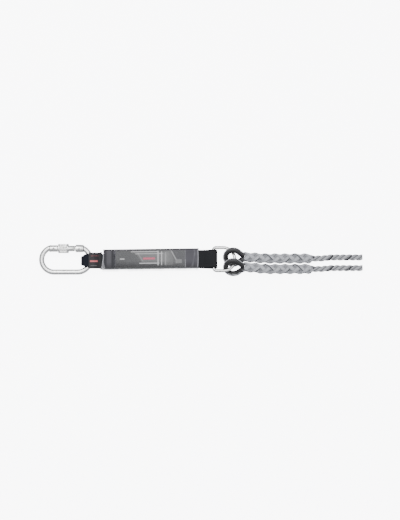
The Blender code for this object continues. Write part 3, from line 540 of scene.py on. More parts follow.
ropeSizes = {
    "lay": 36.0 * mm,  # one full turn of a strand
    "strand": 3.45 * mm,
    "crown": 1.75,  # circle round three strands, over a strand
    "squeezed": (0.92, 0.69),  # in the eye: a strand's radius and its middle's, over a free strand's radius
    "blend": (16.0 * mm, 14.0 * mm),  # where the lay eases, before the splice ends, and over what length
    "singe": (0.10, 1.4 * mm),  # how much the cut end draws in, and over what length
    "eyeDiameter": 9.2 * mm,
    "eyeRadius": 15.4 * mm,
    "taper": 39.6,  # degrees, half angle between the eye's arms
    "throat": 5.3 * mm,
    "eyeEnd": 21.8 * mm,
    "thimbleBack": 6.0 * mm,
    "thimbleLip": 1.8 * mm,
    "thimbleLean": -15.0,  # degrees, how both arms of the channel face
    "spliceDiameter": 19.4 * mm,
    "spliceLength": 130.0 * mm,
    "spliceLay": 57.0 * mm,
    "spliceTaper": 10.0 * mm,
    "tail": 95.0 * mm,
    "bend": (12.0 * mm, 26.0 * mm),  # where the tail bends sideways, past the splice, and over what length
    "gap": 0.3 * mm,
    "tracerOnTail": 167.7 * mm,  # where the rope's traced strand is on top
    "tracerOnSplice": 110.0 * mm,  # where the traced tucked strand is on top
}
legSizes = {
    "a": {"tilt": 22.9, "pitch": 1.2, "yaw": 0.0, "drift": -2.6 * mm, "end": -0.5 * mm},
    "b": {"tilt": 33.1, "pitch": 2.1, "yaw": -1.0, "drift": -3.5 * mm, "end": -1.7 * mm},
}


spliceSizes = {
    "thick": 2.85 * mm,  # half of a strand, outward
    "wide": 4.2 * mm,
    "middle": 6.4 * mm,  # of the strands, from the rope's middle
    "lift": 0.85 * mm,
    "core": 6.5 * mm,
    "endCore": 2.0 * mm,
    "least": 0.92,  # tucked strands keep this much of their reach to where they are cut
    "cutBack": 3.0 * mm,
    "cutRound": 3.0 * mm,
}


# Middle of the eye, from its joint, and the turn that lays it: yaw, then pitch, then tilt
def legPlace(leg):
    g = legSizes[leg]
    turn = Matrix.Rotation(math.radians(g["yaw"]), 3, "Z")
    turn = turn @ Matrix.Rotation(math.radians(-g["pitch"]), 3, "Y")
    turn = turn @ Matrix.Rotation(math.radians(g["tilt"]), 3, "X")
    return jointAt[f"leg_{leg}_swing"], np.array(turn)


# Middle line of the splice and tail, s metres past the throat: eased drops in height and sideways drift
def legRoute(leg, s):
    g, r = legSizes[leg], ropeSizes
    eye, _ = legPlace(leg)
    pitch = math.radians(g["pitch"])
    lean = math.sin(abs(pitch)) + math.sin(math.radians(abs(g["yaw"])))
    start = r["eyeEnd"] + r["gap"] + lean * r["spliceDiameter"] / 2
    length = r["spliceLength"]
    drop = r["spliceDiameter"] / 2 + 0.2 * mm - eye[2]
    low = r["strand"] * r["crown"] + 0.1 * mm - eye[2]
    down = ease(s / (length * 0.75))
    y = g["drift"] * ease(s / (length * 0.35))
    y = y + (g["end"] - g["drift"]) * ease((s - length - r["bend"][0]) / r["bend"][1])
    z = start * math.sin(pitch) * (1 - down) + drop * down
    z = z + (low - drop) * ease((s - length + r["spliceTaper"]) / (r["tail"] * 0.6))
    return eye + np.stack([start * math.cos(pitch) + s, y, z], -1)


# Turn of the strands along the whole leg: the lay is longer in the splice and eases into the rope's. Zero
# falls where the traced strand lies on top of the tail.
def strandPhase(s):
    r = ropeSizes
    whole = np.linspace(0, r["spliceLength"] + r["gap"] + r["tail"], 900)
    blend = ease((whole - r["spliceLength"] + r["blend"][0]) / r["blend"][1])
    rate = (1 - blend) / r["spliceLay"] + blend / r["lay"]
    turn = 2 * pi * np.concatenate([[0.0], np.cumsum((rate[1:] + rate[:-1]) / 2 * np.diff(whole))])
    return np.interp(s, whole, turn) - np.interp(r["tracerOnTail"], whole, turn)


# Outline of three round strands side by side: angle, radius and place across each strand, from -1 to 1
def lobes(count, strand, centre):
    local = np.linspace(-pi / 3, pi / 3, count)
    r = centre * np.cos(local) + np.sqrt(strand**2 - (centre * np.sin(local)) ** 2)
    angle = np.concatenate([local[:-1] + k * 2 * pi / 3 for k in range(3)])
    mark = np.concatenate([local[:-1] / (pi / 3) + 2 * k for k in range(3)] + [[5.0]])
    return angle, np.tile(r[:-1], 3), mark


# Three-strand rope: the lobed outline turns along the route. The cut end is singed, so it draws in a little.
def makeTail(leg):
    r = ropeSizes
    start = r["spliceLength"] + r["gap"]
    s = np.linspace(start, start + r["tail"], 300)
    turn = strandPhase(s) + pi / 2
    angle, radius, mark = lobes(15, r["strand"], r["strand"] * (r["crown"] - 1))
    amount, reach = r["singe"]
    draw = 1 - amount * ease((s - s[-1] + reach) / reach)
    path = legRoute(leg, s)
    a = angle[None] + turn[:, None]
    points = carry(path, -radius * draw[:, None] * np.cos(a), radius * draw[:, None] * np.sin(a))
    obj = gridMesh(f"ropeTail{leg.upper()}", points, gridUv(s, mark)[..., ::-1])
    dress(obj, looks["rope"], f"leg_{leg}", "grey_rope", f"rope_tail_{leg}")
    path = even(path, 60)


# Plaited splice: three rope strands wind one way and three tucked strands the other, and they pass over and
# under by turns, because a cosine of three times the turn lifts one set where it lowers the other. Each
# strand is a flattened circle carried along its helix; at the end the tucked strands are cut off and the
# rope goes on.
def makeSplice(leg):
    r, z = ropeSizes, spliceSizes
    length = r["spliceLength"] + r["gap"]
    s = np.linspace(0, length, 420)
    phase = strandPhase(s)
    tucked = strandPhase(r["tracerOnSplice"])
    path = legRoute(leg, s)
    _, side, over = frames(path)
    end = ease((s - length + r["spliceTaper"]) / r["spliceTaper"])
    weave = np.cos(3 * phase - 1.5 * tucked)
    thick = z["thick"] * (1 - end) + r["strand"] * end
    wide = z["wide"] * (1 - end) + r["strand"] * end
    middle = z["middle"] * (1 - end) + r["strand"] * (r["crown"] - 1) * end
    lift = z["lift"] * (1 - end)
    around = np.linspace(-pi, pi, 24, endpoint=False)
    mark = np.linspace(-1, 1, 25)
    core = z["core"] * (1 - end) + z["endCore"] * end
    angle = np.linspace(0, 2 * pi, 24, endpoint=False)
    inside = carry(path, core[:, None] * np.cos(angle), core[:, None] * np.sin(angle))
    pieces = [(inside, gridUv(s, np.full(25, 7.0))[..., ::-1])]
    for family in (1, -1):
        isRope = family == 1
        cut = length if isRope else length - z["cutBack"]
        keep = s <= cut
        fade = np.ones_like(s) if isRope else np.sqrt(np.clip((cut - s) / z["cutRound"], 0.02, 1.0))
        start = phase if isRope else tucked - phase
        ring = middle + family * lift * weave
        if not isRope:
            nearEnd = s > length - 2 * r["spliceTaper"]
            ring = np.where(nearEnd, np.maximum(ring, z["middle"] * z["least"]), ring)
        for k in range(3):
            turn = start + pi / 2 + k * 2 * pi / 3
            line = path - (ring * np.cos(turn))[:, None] * side + (ring * np.sin(turn))[:, None] * over
            line, out = line[keep], (line - path)[keep]
            tangent = unit(np.gradient(line, axis=0))
            out = unit(out - (out * tangent).sum(1, keepdims=True) * tangent)
            across = np.cross(tangent, out)
            high = (thick * fade)[keep][:, None, None] * np.cos(around)[None, :, None]
            broad = (wide * fade)[keep][:, None, None] * np.sin(around)[None, :, None]
            points = line[:, None] + high * out[:, None] + broad * across[:, None]
            index = 0 if k == 0 else k + (0 if isRope else 2)
            pieces.append((points, gridUv(lengths(line), mark + 2 * index)[..., ::-1]))
    obj = joinGrids(f"splice{leg.upper()}", pieces)
    dress(obj, looks["splice"], f"leg_{leg}", "grey_rope", f"splice_{leg}")


# Rope's middle line round the eye in its own plane: an arc, two straight arms and a short parallel throat,
# with the unit vectors along it and outward
def eyeLine(count):
    r = ropeSizes
    arc = arcPoints(0, 0, r["eyeRadius"], r["eyeRadius"], 180, 90 - r["taper"], 60)
    taper = math.radians(r["taper"])
    run = (arc[-1, 1] - r["throat"]) / math.sin(taper)
    knee = [arc[-1, 0] + run * math.cos(taper), r["throat"]]
    half = np.concatenate([arc, rounded([arc[-1], knee, [r["eyeEnd"], r["throat"]]], 2.5 * mm, 8)[1:]])
    line = even(np.concatenate([half[::-1][:-1] * [1, -1], half]), count)
    return line, *flatNormals(line)


# Thimble: a channel section carried round the eye line. It rolls about the rope as far as the line runs along
# X, so both arms face the same way, and stops at the middle plane where the arms meet.
def makeThimble(leg):
    r = ropeSizes
    eye, turn = legPlace(leg)
    line, tangent, outward = eyeLine(280)
    groove, back, lip = r["eyeDiameter"] / 2 + r["gap"], r["thimbleBack"], r["thimbleLip"]
    section = np.concatenate(
        [
            [(lip, back)],
            arcPoints(0, 0, back, back, 90, 270, 25),
            [(lip, -back), (lip, -groove)],
            arcPoints(0, 0, groove, groove, 270, 90, 25),
            [(lip, groove)],
        ]
    )
    section = rounded(section, 0.45 * mm, 4, closed=True)
    roll = (math.radians(r["thimbleLean"] - legSizes[leg]["tilt"]) * tangent[:, 0])[:, None]
    out = section[None, :, 0] * np.cos(roll) - section[None, :, 1] * np.sin(roll)
    upward = section[None, :, 0] * np.sin(roll) + section[None, :, 1] * np.cos(roll)
    flat = line[:, None] + out[..., None] * outward[:, None]
    arm = np.where(line[:, 1] > 0, 1.0, -1.0)[:, None]
    y = np.where((line[:, 0] > 0)[:, None], arm * np.maximum(flat[..., 1] * arm, 0.02 * mm), flat[..., 1])
    points = np.stack([flat[..., 0], y, upward], -1) @ turn.T + eye
    uv = gridUv(lengths(line), np.linspace(0, 1, points.shape[1] + 1))
    obj = gridMesh(f"thimble{leg.upper()}", points, uv)
    dress(obj, looks["plastic"], f"leg_{leg}", "black_plastic", f"thimble_{leg}")


# Rope eye: the lobed outline of the squeezed rope, turning as it goes round the eye line
def makeRopeEye(leg):
    r = ropeSizes
    eye, turn = legPlace(leg)
    line, _, outward = eyeLine(300)
    angle, radius, mark = lobes(13, *(r["strand"] * share for share in r["squeezed"]))
    s = lengths(line)
    a = angle[None] + 2 * pi * s[:, None] / r["lay"]
    reach = np.minimum(radius, r["eyeDiameter"] / 2 - 0.02 * mm)[None]
    flat = line[:, None] + (reach * np.cos(a))[..., None] * outward[:, None]
    points = np.concatenate([flat, (reach * np.sin(a))[..., None]], -1) @ turn.T + eye
    obj = gridMesh(f"ropeEye{leg.upper()}", points, gridUv(s, mark)[..., ::-1])
    dress(obj, looks["rope"], f"leg_{leg}", "grey_rope", f"rope_eye_{leg}")


for leg in "ab":
    makeTail(leg)
    makeSplice(leg)
    makeThimble(leg)
    makeRopeEye(leg)
print("legs made")

ringSizes = {
    "wire": 6.0 * mm,
    "half": 23.6 * mm,
    "straight": 18.7 * mm,
    "nose": 22.1 * mm,
    "corner": 5.5 * mm,
    "roll": 20.6,  # degrees, lifts the -Y side
    "pitch": 3.6,  # degrees, lowers the round end
}


# Wire carried round a D: a bar with two small bends, two short legs and a half ellipse
def makeRing():
    z = ringSizes
    half, corner = z["half"], z["corner"]
    bends = (
        arcPoints(corner, -half + corner, corner, corner, 180, 270, 14),
        arcPoints(z["straight"], 0, z["nose"], half, -90, 90, 90),
        arcPoints(corner, half - corner, corner, corner, 90, 180, 14),
    )
    line = np.concatenate(bends)
    line = even(np.concatenate([line, line[:1]]), 241)[:-1]
    turn = Matrix.Rotation(math.radians(z["pitch"]), 3, "Y")
    turn = np.array(turn @ Matrix.Rotation(math.radians(-z["roll"]), 3, "X"))
    path = np.concatenate([line, np.zeros((len(line), 1))], 1) @ turn.T + jointAt["ring_swing"]
    obj = tubeAlong("ringWire", path, z["wire"] / 2, 36, True, turn[:, 2])
    dress(obj, looks["ring"], "ring", "steel", "d_ring")


makeRing()
print("ring made")

ovalSizes = {
    "axisToMiddle": 44.45 * mm,  # swing axis to the middle of the oval
    "rod": 10.0 * mm,
    "endRadius": 23.8 * mm,
    "straight": 22.7 * mm,  # half of it
    "gateSide": 21.3 * mm,
    "slot": 4.6 * mm,
    "sleeve": 17.7 * mm,
    "sleeveWall": 1.75 * mm,
    "sleeveEnds": (-14.5 * mm, 5.1 * mm),
    "knurls": 40,
    "knurlDepth": 0.3 * mm,  # to each side of the grip's mean radius
    "rodStarts": (6.0 * mm, 8.0 * mm),  # the rod runs into the blocks this far past the middle of each bend
    "gateEnd": 9.5 * mm,  # from the hinge's pivot to the gate tube's end
    "gateHalf": 5.4 * mm,
    "gateSlant": 3.0 * mm,
}
# Blocks in millimetres from the oval's middle: profile (x, radius), ends of the slot, pin hole (x, radius)
blockSizes = {
    "noseBlock": (
        [(-31.9, 0.01), (-31.9, 5.9), (-30.9, 6.65), (-30.5, 6.1), (-30.1, 6.75)]
        + [(-15.6, 6.75), (-15.6, 0.01)],
        (-28.6, -14.0),
        (-23.2, 2.05),
    ),
    "hingeBlock": (
        [(19.0, 0.01), (19.0, 7.6), (29.3, 7.6), (29.8, 6.9), (30.3, 7.4), (32.9, 7.0), (33.5, 6.5)]
        + [(34.9, 5.4), (34.9, 0.01)],
        (18.0, 31.95),
        (25.5, 1.85),
    ),
}
# Pins in millimetres: x, radius, half length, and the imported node
pinSizes = {
    "latchPin": (-23.2, 1.8, 6.75, "gate_latch_pin"),
    "hingeRivet": (25.5, 1.75, 7.8, "gate_hinge_rivet"),
}
ovalAt = jointAt["carabiner_swing"] - np.array([ovalSizes["axisToMiddle"], 0, 0])
gateAt = ovalAt + np.array([0, ovalSizes["gateSide"], 0])


# Rod: a circle carried round the open oval. Blocks: turned profiles with their slots and pin holes cut.
def makeCarabiner():
    z = ovalSizes
    r = z["endRadius"]
    near, far = (math.degrees(math.acos(start / r)) for start in z["rodStarts"])
    ends = (
        arcPoints(-z["straight"], 0, r, r, 180 - near, 270, 80),
        arcPoints(z["straight"], 0, r, r, -90, far, 80),
    )
    path = np.concatenate([even(np.concatenate(ends), 220), np.zeros((220, 1))], 1) + ovalAt
    rod = tubeAlong("ovalRod", path, z["rod"] / 2, 40)
    dress(rod, looks["steel"], "carabiner", "steel", "carabiner_body")
    for name, (profile, slot, hole) in blockSizes.items():
        body = turned(name, rounded(np.array(profile) * mm, 0.45 * mm, 4), gateAt)
        reach = np.array([0, 16 * mm, z["slot"] / 2])
        low = gateAt + np.array([slot[0] * mm, 0, 0]) - reach
        high = gateAt + np.array([slot[1] * mm, 0, 0]) + reach
        drill = np.array([(-12, 0.0), (-12, hole[1]), (12, hole[1]), (12, 0.0)]) * mm
        at = gateAt + np.array([hole[0] * mm, 0, 0])
        carve(body, [block("slot", low, high), turned("hole", drill, at, 2, 32)])
        dress(body, looks["steel"], "carabiner", "steel")
    for name, (x, radius, half, node) in pinSizes.items():
        outline = np.array([(-half, 0.01), (-half, radius), (half, radius), (half, 0.01)]) * mm
        pin = turned(name, rounded(outline, 0.5 * mm, 5), gateAt + np.array([x * mm, 0, 0]), 2, 36)
        dress(pin, looks["pin"], "carabiner", "steel", node)


# Turned sleeve, straight teeth round its middle: a flattened cosine of the angle, faded in at both bands
def makeSleeve():
    z = ovalSizes
    x0, x1 = z["sleeveEnds"]
    outer = z["sleeve"] / 2
    inner = outer - z["sleeveWall"]
    step = 0.45 * mm
    front = [(x0, inner), (x0, outer), (x0 + 2.3 * mm, outer), (x0 + 2.7 * mm, outer - step)]
    front = rounded(front, 0.35 * mm, 4)
    depth = z["knurlDepth"]
    grip = np.stack([np.linspace(x0 + 2.9 * mm, x1 - 2.9 * mm, 30), np.full(30, outer - depth)], 1)
    back = front[::-1] * [-1, 1] + [x0 + x1, 0]
    profile = np.concatenate([front, grip, back, [(x1 - 1 * mm, inner), (x0 + 1 * mm, inner), (x0, inner)]])

    def teeth(x, a):
        inside = ease((x - x0 - 2.7 * mm) / (0.5 * mm)) * ease((x1 - 2.7 * mm - x) / (0.5 * mm))
        wave = np.cos(z["knurls"] * a)
        return depth * inside * np.sign(wave) * np.abs(wave) ** 0.6

    obj = turned("lockSleeve", profile, gateAt, 0, z["knurls"] * 8, teeth)
    dress(obj, looks["sleeve"], "sleeve", "steel", "lock_sleeve")


# A packed machined piece with softened edges and its own finish. slant holds an end face's x, its middle's
# y, its half width and a reach: that face moves towards +X by reach * (y - middle + half) / (2 * half).
def makeMachined(node, name, material, body, bevel, slant=None):
    obj = bpy.data.objects.new(name, frame["nodes"][node].data.copy())
    bpy.context.scene.collection.objects.link(obj)
    if slant:
        end, middle, half, reach = slant
        co = readPoints(obj)
        rise = np.clip((co[:, 1] - middle + half) / (2 * half), 0, 1)
        co[:, 0] += np.where(np.abs(co[:, 0] - end) < 0.5 * mm, rise * reach, 0)
        writePoints(obj, co)
    work = bmesh.new()
    work.from_mesh(obj.data)
    bmesh.ops.remove_doubles(work, verts=work.verts, dist=1e-6)
    work.to_mesh(obj.data)
    work.free()
    step = obj.modifiers.new("Edges", "BEVEL")
    step.width, step.segments, step.limit_method = bevel, 2, "ANGLE"
    step.angle_limit = math.radians(50)
    smooth(obj, 40)
    dress(obj, material, body, "steel", node)


springSizes = {
    "turns": 9,
    "wire": 0.4 * mm,
    "radius": 0.9 * mm,
    "start": 14.2 * mm,
    "end": 27.15 * mm,
    "drop": 3.5 * mm,
    "travel": 1.35 * mm,  # how far the plunger presses it in
}


# Coil: wire carried along a helix inside the gate's bore.
def makeSpring():
    z = springSizes
    t = np.linspace(0, 1, z["turns"] * 40)
    a = 2 * pi * z["turns"] * t
    x = z["start"] + (z["end"] - z["start"]) * t
    y = ovalSizes["gateSide"] - z["drop"] + z["radius"] * np.cos(a)
    path = np.stack([x, y, z["radius"] * np.sin(a)], 1) + ovalAt
    obj = tubeAlong("gateSpring", path, z["wire"] / 2, 10, False, (1, 0, 0))
    dress(obj, looks["spring"], "gate", "spring_steel", "gate_spring")
    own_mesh(obj)


makeCarabiner()
makeSleeve()
gateEnd = jointAt["gate_hinge"][0] - ovalSizes["gateEnd"]
gateSlant = (gateEnd, jointAt["gate_hinge"][1], ovalSizes["gateHalf"], ovalSizes["gateSlant"])
makeMachined("carabiner_gate", "gateTube", looks["steel"], "gate", 0.15 * mm, gateSlant)
makeMachined("gate_plunger", "gatePlunger", looks["pin"], "plunger", 0.1 * mm)
makeSpring()
print("carabiner made")

filmLow, filmHigh = (np.array(corner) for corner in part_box("pack_film"))
packSizes = {
    "flange": (1.6 * mm, 5.2 * mm, 9.0 * mm),  # left end: drawn in, let out towards -Y, over what length
    "bulge": 0.45 * mm,  # how far the film stands out at each side of the tapes
    "left": float(filmLow[0]),
    "right": float(filmHigh[0]),
    "halfWidth": 18.8 * mm,
    "height": float(filmHigh[2] - filmLow[2]),
    # Height of the film at each distance from an end
    "shoulder": (np.array([0, 6, 19, 24, 92]) * mm, np.array([13.0, 14.5, 21.4, 23.6, 23.6]) * mm),
    "corner": 1.8 * mm,
    "filmWall": 0.25 * mm,
    "fin": 4.6 * mm,
    "seam": 23.0 * mm,
    "sideShift": 3.4 * mm,  # the pack lies this far to one side of the loops
    "slope": 0.0135,  # the pack lies a little turned: Y gained for each length along X
}
packSizes["side"] = float(filmHigh[1]) - packSizes["halfWidth"]
packSizes["middle"] = float(filmLow[2]) + 11.45 * mm
packSizes["centre"] = (packSizes["left"] + packSizes["right"]) / 2
baseY = packSizes["side"] - packSizes["sideShift"]
loopSizes = {
    "rodX": float(ovalAt[0]) + 46.5 * mm,
    "height": float(ovalAt[2]),
    "rise": 9.3 * mm,
    "slack": 17.8 * mm,
    "neck": 22.0 * mm,
    "straight": 5.5 * mm,
    "spread": 2.6 * mm,
    "webbing": 2.0 * mm,
    "wrapEnds": (-2.4 * mm, 22.2 * mm),  # from the rod
    "wrapWall": 0.8 * mm,
    "wrapCorner": 1.6 * mm,
    "wrapSlope": 1.2,  # the sloping layers stand this much taller than their thickness
    "gap": 0.3 * mm,
    "wrapWidth": 30.8 * mm,
    "wrapFlare": 1.0 * mm,  # each side, where it meets the pack
    "ringWidth": 35.4 * mm,
    "ringReach": 28.5 * mm,
    "ringRadius": 6.4 * mm,
    "ringTwist": 14.0,  # degrees
}


# Webbing: a flat profile with rounded edges carried along an (x, z) line. low and high are its edges' y at
# each point: y = middle + place * (half width - edge) + bulge * edge.
def ribbon(name, line, thickness, low, high):
    line = np.asarray(line, float)
    _, normal = flatNormals(line)
    low = np.broadcast_to(np.asarray(low, float), (len(line),))
    high = np.broadcast_to(np.asarray(high, float), (len(line),))
    middle, half, edge = ((low + high) / 2)[:, None], ((high - low) / 2)[:, None], thickness * 0.42
    cap = np.radians(np.linspace(90, -90, 9))[1:-1]
    flat = np.linspace(1, -1, 41)
    place = np.concatenate([flat, np.full(7, -1.0), -flat, np.full(7, 1.0)])
    bulge = np.concatenate([np.zeros(41), -np.cos(cap), np.zeros(41), np.cos(cap)])
    height = np.concatenate([np.ones(41), np.sin(cap), -np.ones(41), -np.sin(cap)]) * thickness / 2
    y = middle + place * (half - edge) + bulge * edge
    x = line[:, 0:1] + normal[:, 0:1] * height
    z = line[:, 1:2] + normal[:, 1:2] * height
    across = place * (half.mean() - edge) + bulge * edge
    uv = gridUv(lengths(line), np.append(across, across[0]))[..., ::-1]
    return gridMesh(name, np.stack([x, y, z], -1), uv)


# Half height of the carabiner loop's layers, and their middle's height
def loopHalf(x):
    z = loopSizes
    t = ease((x - z["rodX"] - z["straight"]) / (z["neck"] - z["straight"]))
    return z["rise"] + (z["spread"] - z["rise"]) * t, z["height"] + (packSizes["middle"] - z["height"]) * t


# Webbing folded round the rod: two layers that close towards the seam, gathered narrower at the fold
def makeCarabinerLoop():
    z = loopSizes
    left = z["rodX"] - z["slack"]
    foldX = left + z["webbing"] / 2 + z["rise"]
    x = np.linspace(foldX, packSizes["left"] + packSizes["seam"], 160)
    half, middle = loopHalf(x)
    upper, lower = np.stack([x, middle + half], 1)[::-1], np.stack([x, middle - half], 1)
    fold = arcPoints(foldX, z["height"], z["rise"], z["rise"], 90, 270, 50)[1:-1]
    line = even(np.concatenate([upper, fold, lower]), 420)
    at = np.array([0, 1.8, 8.6, 15.0, 24.0, 80.0]) * mm + left
    high = np.interp(line[:, 0], at, np.array([7.6, 8.2, 12.3, 13.0, 13.0, 13.0]) * mm) + baseY
    low = baseY - np.interp(line[:, 0], at, np.array([8.6, 9.1, 11.6, 13.0, 14.0, 14.0]) * mm)
    obj = ribbon("carabinerLoop", line, z["webbing"], low, high)
    dress(obj, looks["navy"], "pack", "navy_webbing", "carabiner_loop")


# Outline of a rounded rectangle across X, even along each side
def sleeveSection(halfWidth, halfHeight, corner):
    y, z = [], []
    for k, (a, b, c, d) in enumerate(((1, 1, -1, 1), (-1, 1, -1, -1), (-1, -1, 1, -1), (1, -1, 1, 1))):
        turn = np.radians(np.linspace(0, 90, 6)) + k * pi / 2
        t = np.linspace(0, 1, 30)[1:-1]
        y0, y1 = (side * (halfWidth - corner) + corner * math.cos(turn[-1]) for side in (a, c))
        z0, z1 = (side * (halfHeight - corner) + corner * math.sin(turn[-1]) for side in (b, d))
        y += [a * (halfWidth - corner) + corner * np.cos(turn), y0 + (y1 - y0) * t]
        z += [b * (halfHeight - corner) + corner * np.sin(turn), z0 + (z1 - z0) * t]
    return np.stack([np.concatenate(y), np.concatenate(z)], 1)


# Thin open tube along X: the outer sections, then the inner ones back again, each moved by bumps(points)
def flatSleeve(name, x, centreY, halfWidth, halfHeight, middle, corner, wall, bumps=None):
    walls = []
    for inset in (0.0, wall):
        small = max(corner - inset, 0.3 * mm)
        rows = np.array([sleeveSection(w - inset, h - inset, small) for w, h in zip(halfWidth, halfHeight)])
        rows = rows + np.stack([np.full(len(x), centreY), middle], 1)[:, None]
        walls.append(np.concatenate([np.repeat(x[:, None, None], rows.shape[1], 1), rows], -1))
    outer, inner = walls
    if bumps is not None:
        push = bumps(outer)
        outer, inner = outer + push, inner + push
    points = np.concatenate([outer, inner[::-1]])
    s = x - x[0]
    uv = gridUv(np.concatenate([s, s[::-1], s[:1]]), np.linspace(0, 1, points.shape[1] + 1))
    return gridMesh(name, points, uv, True)


# Black coated wrap: a darker band at its right edge, faint rust flecks, a plain salmon stripe and a pale
# rule. u and v are millimetres from the rod and from the loop's middle.
def wrapLook():
    net = Net("wearWrap")
    x, y, z, place = net.coords()
    u, v = (x - loopSizes["rodX"]) * 1000, (y - baseY) * 1000
    speck = net.noise(place, 900.0, 3.0)
    cloud = net.noise(place, 160.0, 2.0)
    top = z.ramp(0.012, 0.014)
    rust = v.band(7.6, 10.6, 0.6) * u.band(2.0, 16.5, 1.0) * speck.ramp(0.42, 0.6)
    halo = v.band(-4.4, 2.4, 1.2) * u.band(0.0, 14.8, 1.2)
    stripe = (v + 1.0).abs().ramp(1.0, 1.7, 1.0, 0.0) * u.band(0.4, 14.4, 0.7)
    rule = v.band(-9.6, -8.8, 0.3) * u.band(1.5, 13.0, 1.0)
    colour = net.paint(
        net.mix(speck.ramp(0.3, 0.8), (0.009, 0.009, 0.010), (0.026, 0.025, 0.027)),
        (rust * top * 0.7, (0.15, 0.045, 0.05)),
        (halo * top * 0.35, (0.06, 0.03, 0.04)),
        (stripe * top, (0.50, 0.12, 0.125)),
        (rule * top * 0.8, (0.14, 0.14, 0.145)),
        (u.ramp(18.9, 19.7), (0.004, 0.004, 0.005)),
    )
    normal = net.bump(speck + cloud, 0.25, 0.0002)
    return net.surface(Base_Color=colour, Roughness=0.5 + cloud * 0.2, Normal=normal, Specular_IOR_Level=0.25)


# Wrap: a rounded flat sleeve that follows the loop's neck, its side walls notched where the rod passes
def makeWrap():
    z = loopSizes
    x = np.linspace(z["rodX"] + z["wrapEnds"][0], z["rodX"] + z["wrapEnds"][1], 60)
    half, middle = loopHalf(x)
    half = half + (z["webbing"] / 2 + z["wrapWall"]) * z["wrapSlope"] + z["gap"]
    flare = z["wrapFlare"] * ease((x - x[-1] + 6.0 * mm) / (5.0 * mm))
    centre, width = baseY + 0.1 * mm, z["wrapWidth"] / 2
    obj = flatSleeve("loopWrap", x, centre, width + flare, half, middle, z["wrapCorner"], z["wrapWall"])
    cutters = []
    for name, side in (("lowNotch", -1), ("highNotch", 1)):
        near, far = sorted(side * (width + past * mm) for past in (-3, 5))
        low = (z["rodX"] - 4 * mm, centre + near, z["height"] - z["rise"])
        high = (z["rodX"] + 3.5 * mm, centre + far, z["height"] + z["rise"])
        cutters.append(block(name, low, high))
    carve(obj, cutters)
    dress(obj, wrapLook(), "pack", "wear_wrap", "loop_wrap")


# Webbing folded round the ring's bar. It turns about X from the pack to the bar, in proportion to x.
def makeRingLoop():
    z = loopSizes
    reach, radius, spread, seam = z["ringReach"], z["ringRadius"], z["spread"], packSizes["seam"]
    ring = jointAt["ring_swing"]
    rise = ring[2] - packSizes["middle"]
    x = np.linspace(0, reach, 60)
    half = spread + (radius - spread) * ease(x / reach)
    lift = rise * ease(x / reach) - rise
    tuck = np.linspace(-seam, 0, 12)[:-1]
    upper, lower = (
        np.stack([np.append(tuck, x), np.append(np.full(11, side * spread - rise), lift + side * half)], 1)
        for side in (1, -1)
    )
    fold = arcPoints(reach, 0, radius, radius, 90, -90, 50)[1:-1]
    line = even(np.concatenate([upper, fold, lower[::-1]]), 380)
    obj = ribbon("ringLoop", line, z["webbing"], -z["ringWidth"] / 2, z["ringWidth"] / 2)
    co = readPoints(obj)
    angle = -math.radians(z["ringTwist"]) * np.clip(co[:, 0] / reach, 0, 1.3)
    y = co[:, 1] * np.cos(angle) - co[:, 2] * np.sin(angle)
    height = co[:, 1] * np.sin(angle) + co[:, 2] * np.cos(angle)
    writePoints(obj, np.stack([co[:, 0], y, height], 1) + np.array([packSizes["right"], ring[1], ring[2]]))
    dress(obj, looks["black"], "pack", "black_webbing", "ring_loop")


# Object coordinates, and millimetres from the pack's middle along and across it as it lies turned
def packPlace(net):
    x, y, z, place = net.coords()
    u = (x - packSizes["centre"]) * 1000
    return x, y, z, place, u, (y - packSizes["side"]) * 1000 - u * packSizes["slope"]


# Lays a piece of the pack a little turned: y + (x - the pack's middle) * slope
def turnWithPack(obj):
    co = readPoints(obj)
    co[:, 1] += (co[:, 0] - packSizes["centre"]) * packSizes["slope"]
    writePoints(obj, co)


makeCarabinerLoop()
makeWrap()
makeRingLoop()
print("loops made")

tapeSizes = {
    "width": 34.6 * mm,
    "thick": 1.1 * mm,
    "apart": 1.45 * mm,  # from the middle of one tape to the other's
    "pitch": 3.15 * mm,
    "runs": 7,
    "turn": 58.5 * mm,  # where the runs turn back, from the pack's middle
    "bend": 4.0 * mm,
}


# Two tear-out tapes in one concertina: each a thin band carried along the same folded line, side by side
def makeTapes():
    g, p = tapeSizes, packSizes
    pitch, bend, turnX, middle = g["pitch"], g["bend"], g["turn"], p["middle"]
    first = middle - (g["runs"] - 1) / 2 * pitch
    outer = turnX + 5 * mm
    path = [[(p["left"] - p["centre"] + 2 * mm, middle)]]
    path.append(arcPoints(-outer - bend, middle - bend, bend, bend, 90, 0, 10))
    path.append(arcPoints(-outer + bend, first + bend, bend, bend, 180, 270, 10))
    for run in range(g["runs"] - 1):
        low = first + (run + 0.5) * pitch
        side, start, end = (1, -90, 90) if run % 2 == 0 else (-1, 270, 90)
        path.append(arcPoints(side * (turnX - pitch / 2), low, pitch / 2, pitch / 2, start, end, 10))
    top = first + (g["runs"] - 1) * pitch
    path.append(arcPoints(outer - bend, top - bend, bend, bend, 90, 0, 10))
    path.append(arcPoints(outer + bend, middle + bend, bend, bend, 180, 270, 10))
    path.append([(p["right"] - p["centre"] - 2 * mm, middle)])
    line = even(np.concatenate([np.asarray(part, float) for part in path]), 1500)
    _, normal = flatNormals(line)
    low, high = p["side"] - g["width"] / 2, p["side"] + g["width"] / 2
    for level, sign in (("upper", 1), ("lower", -1)):
        name, node = f"tearTape{level.title()}", f"tear_webbing_{level}"
        obj = ribbon(name, line + normal * sign * g["apart"] / 2, g["thick"], low, high)
        writePoints(obj, readPoints(obj) + np.array([p["centre"], 0, 0]))
        turnWithPack(obj)
        dress(obj, looks["tear"], "pack", "tear_webbing", node)


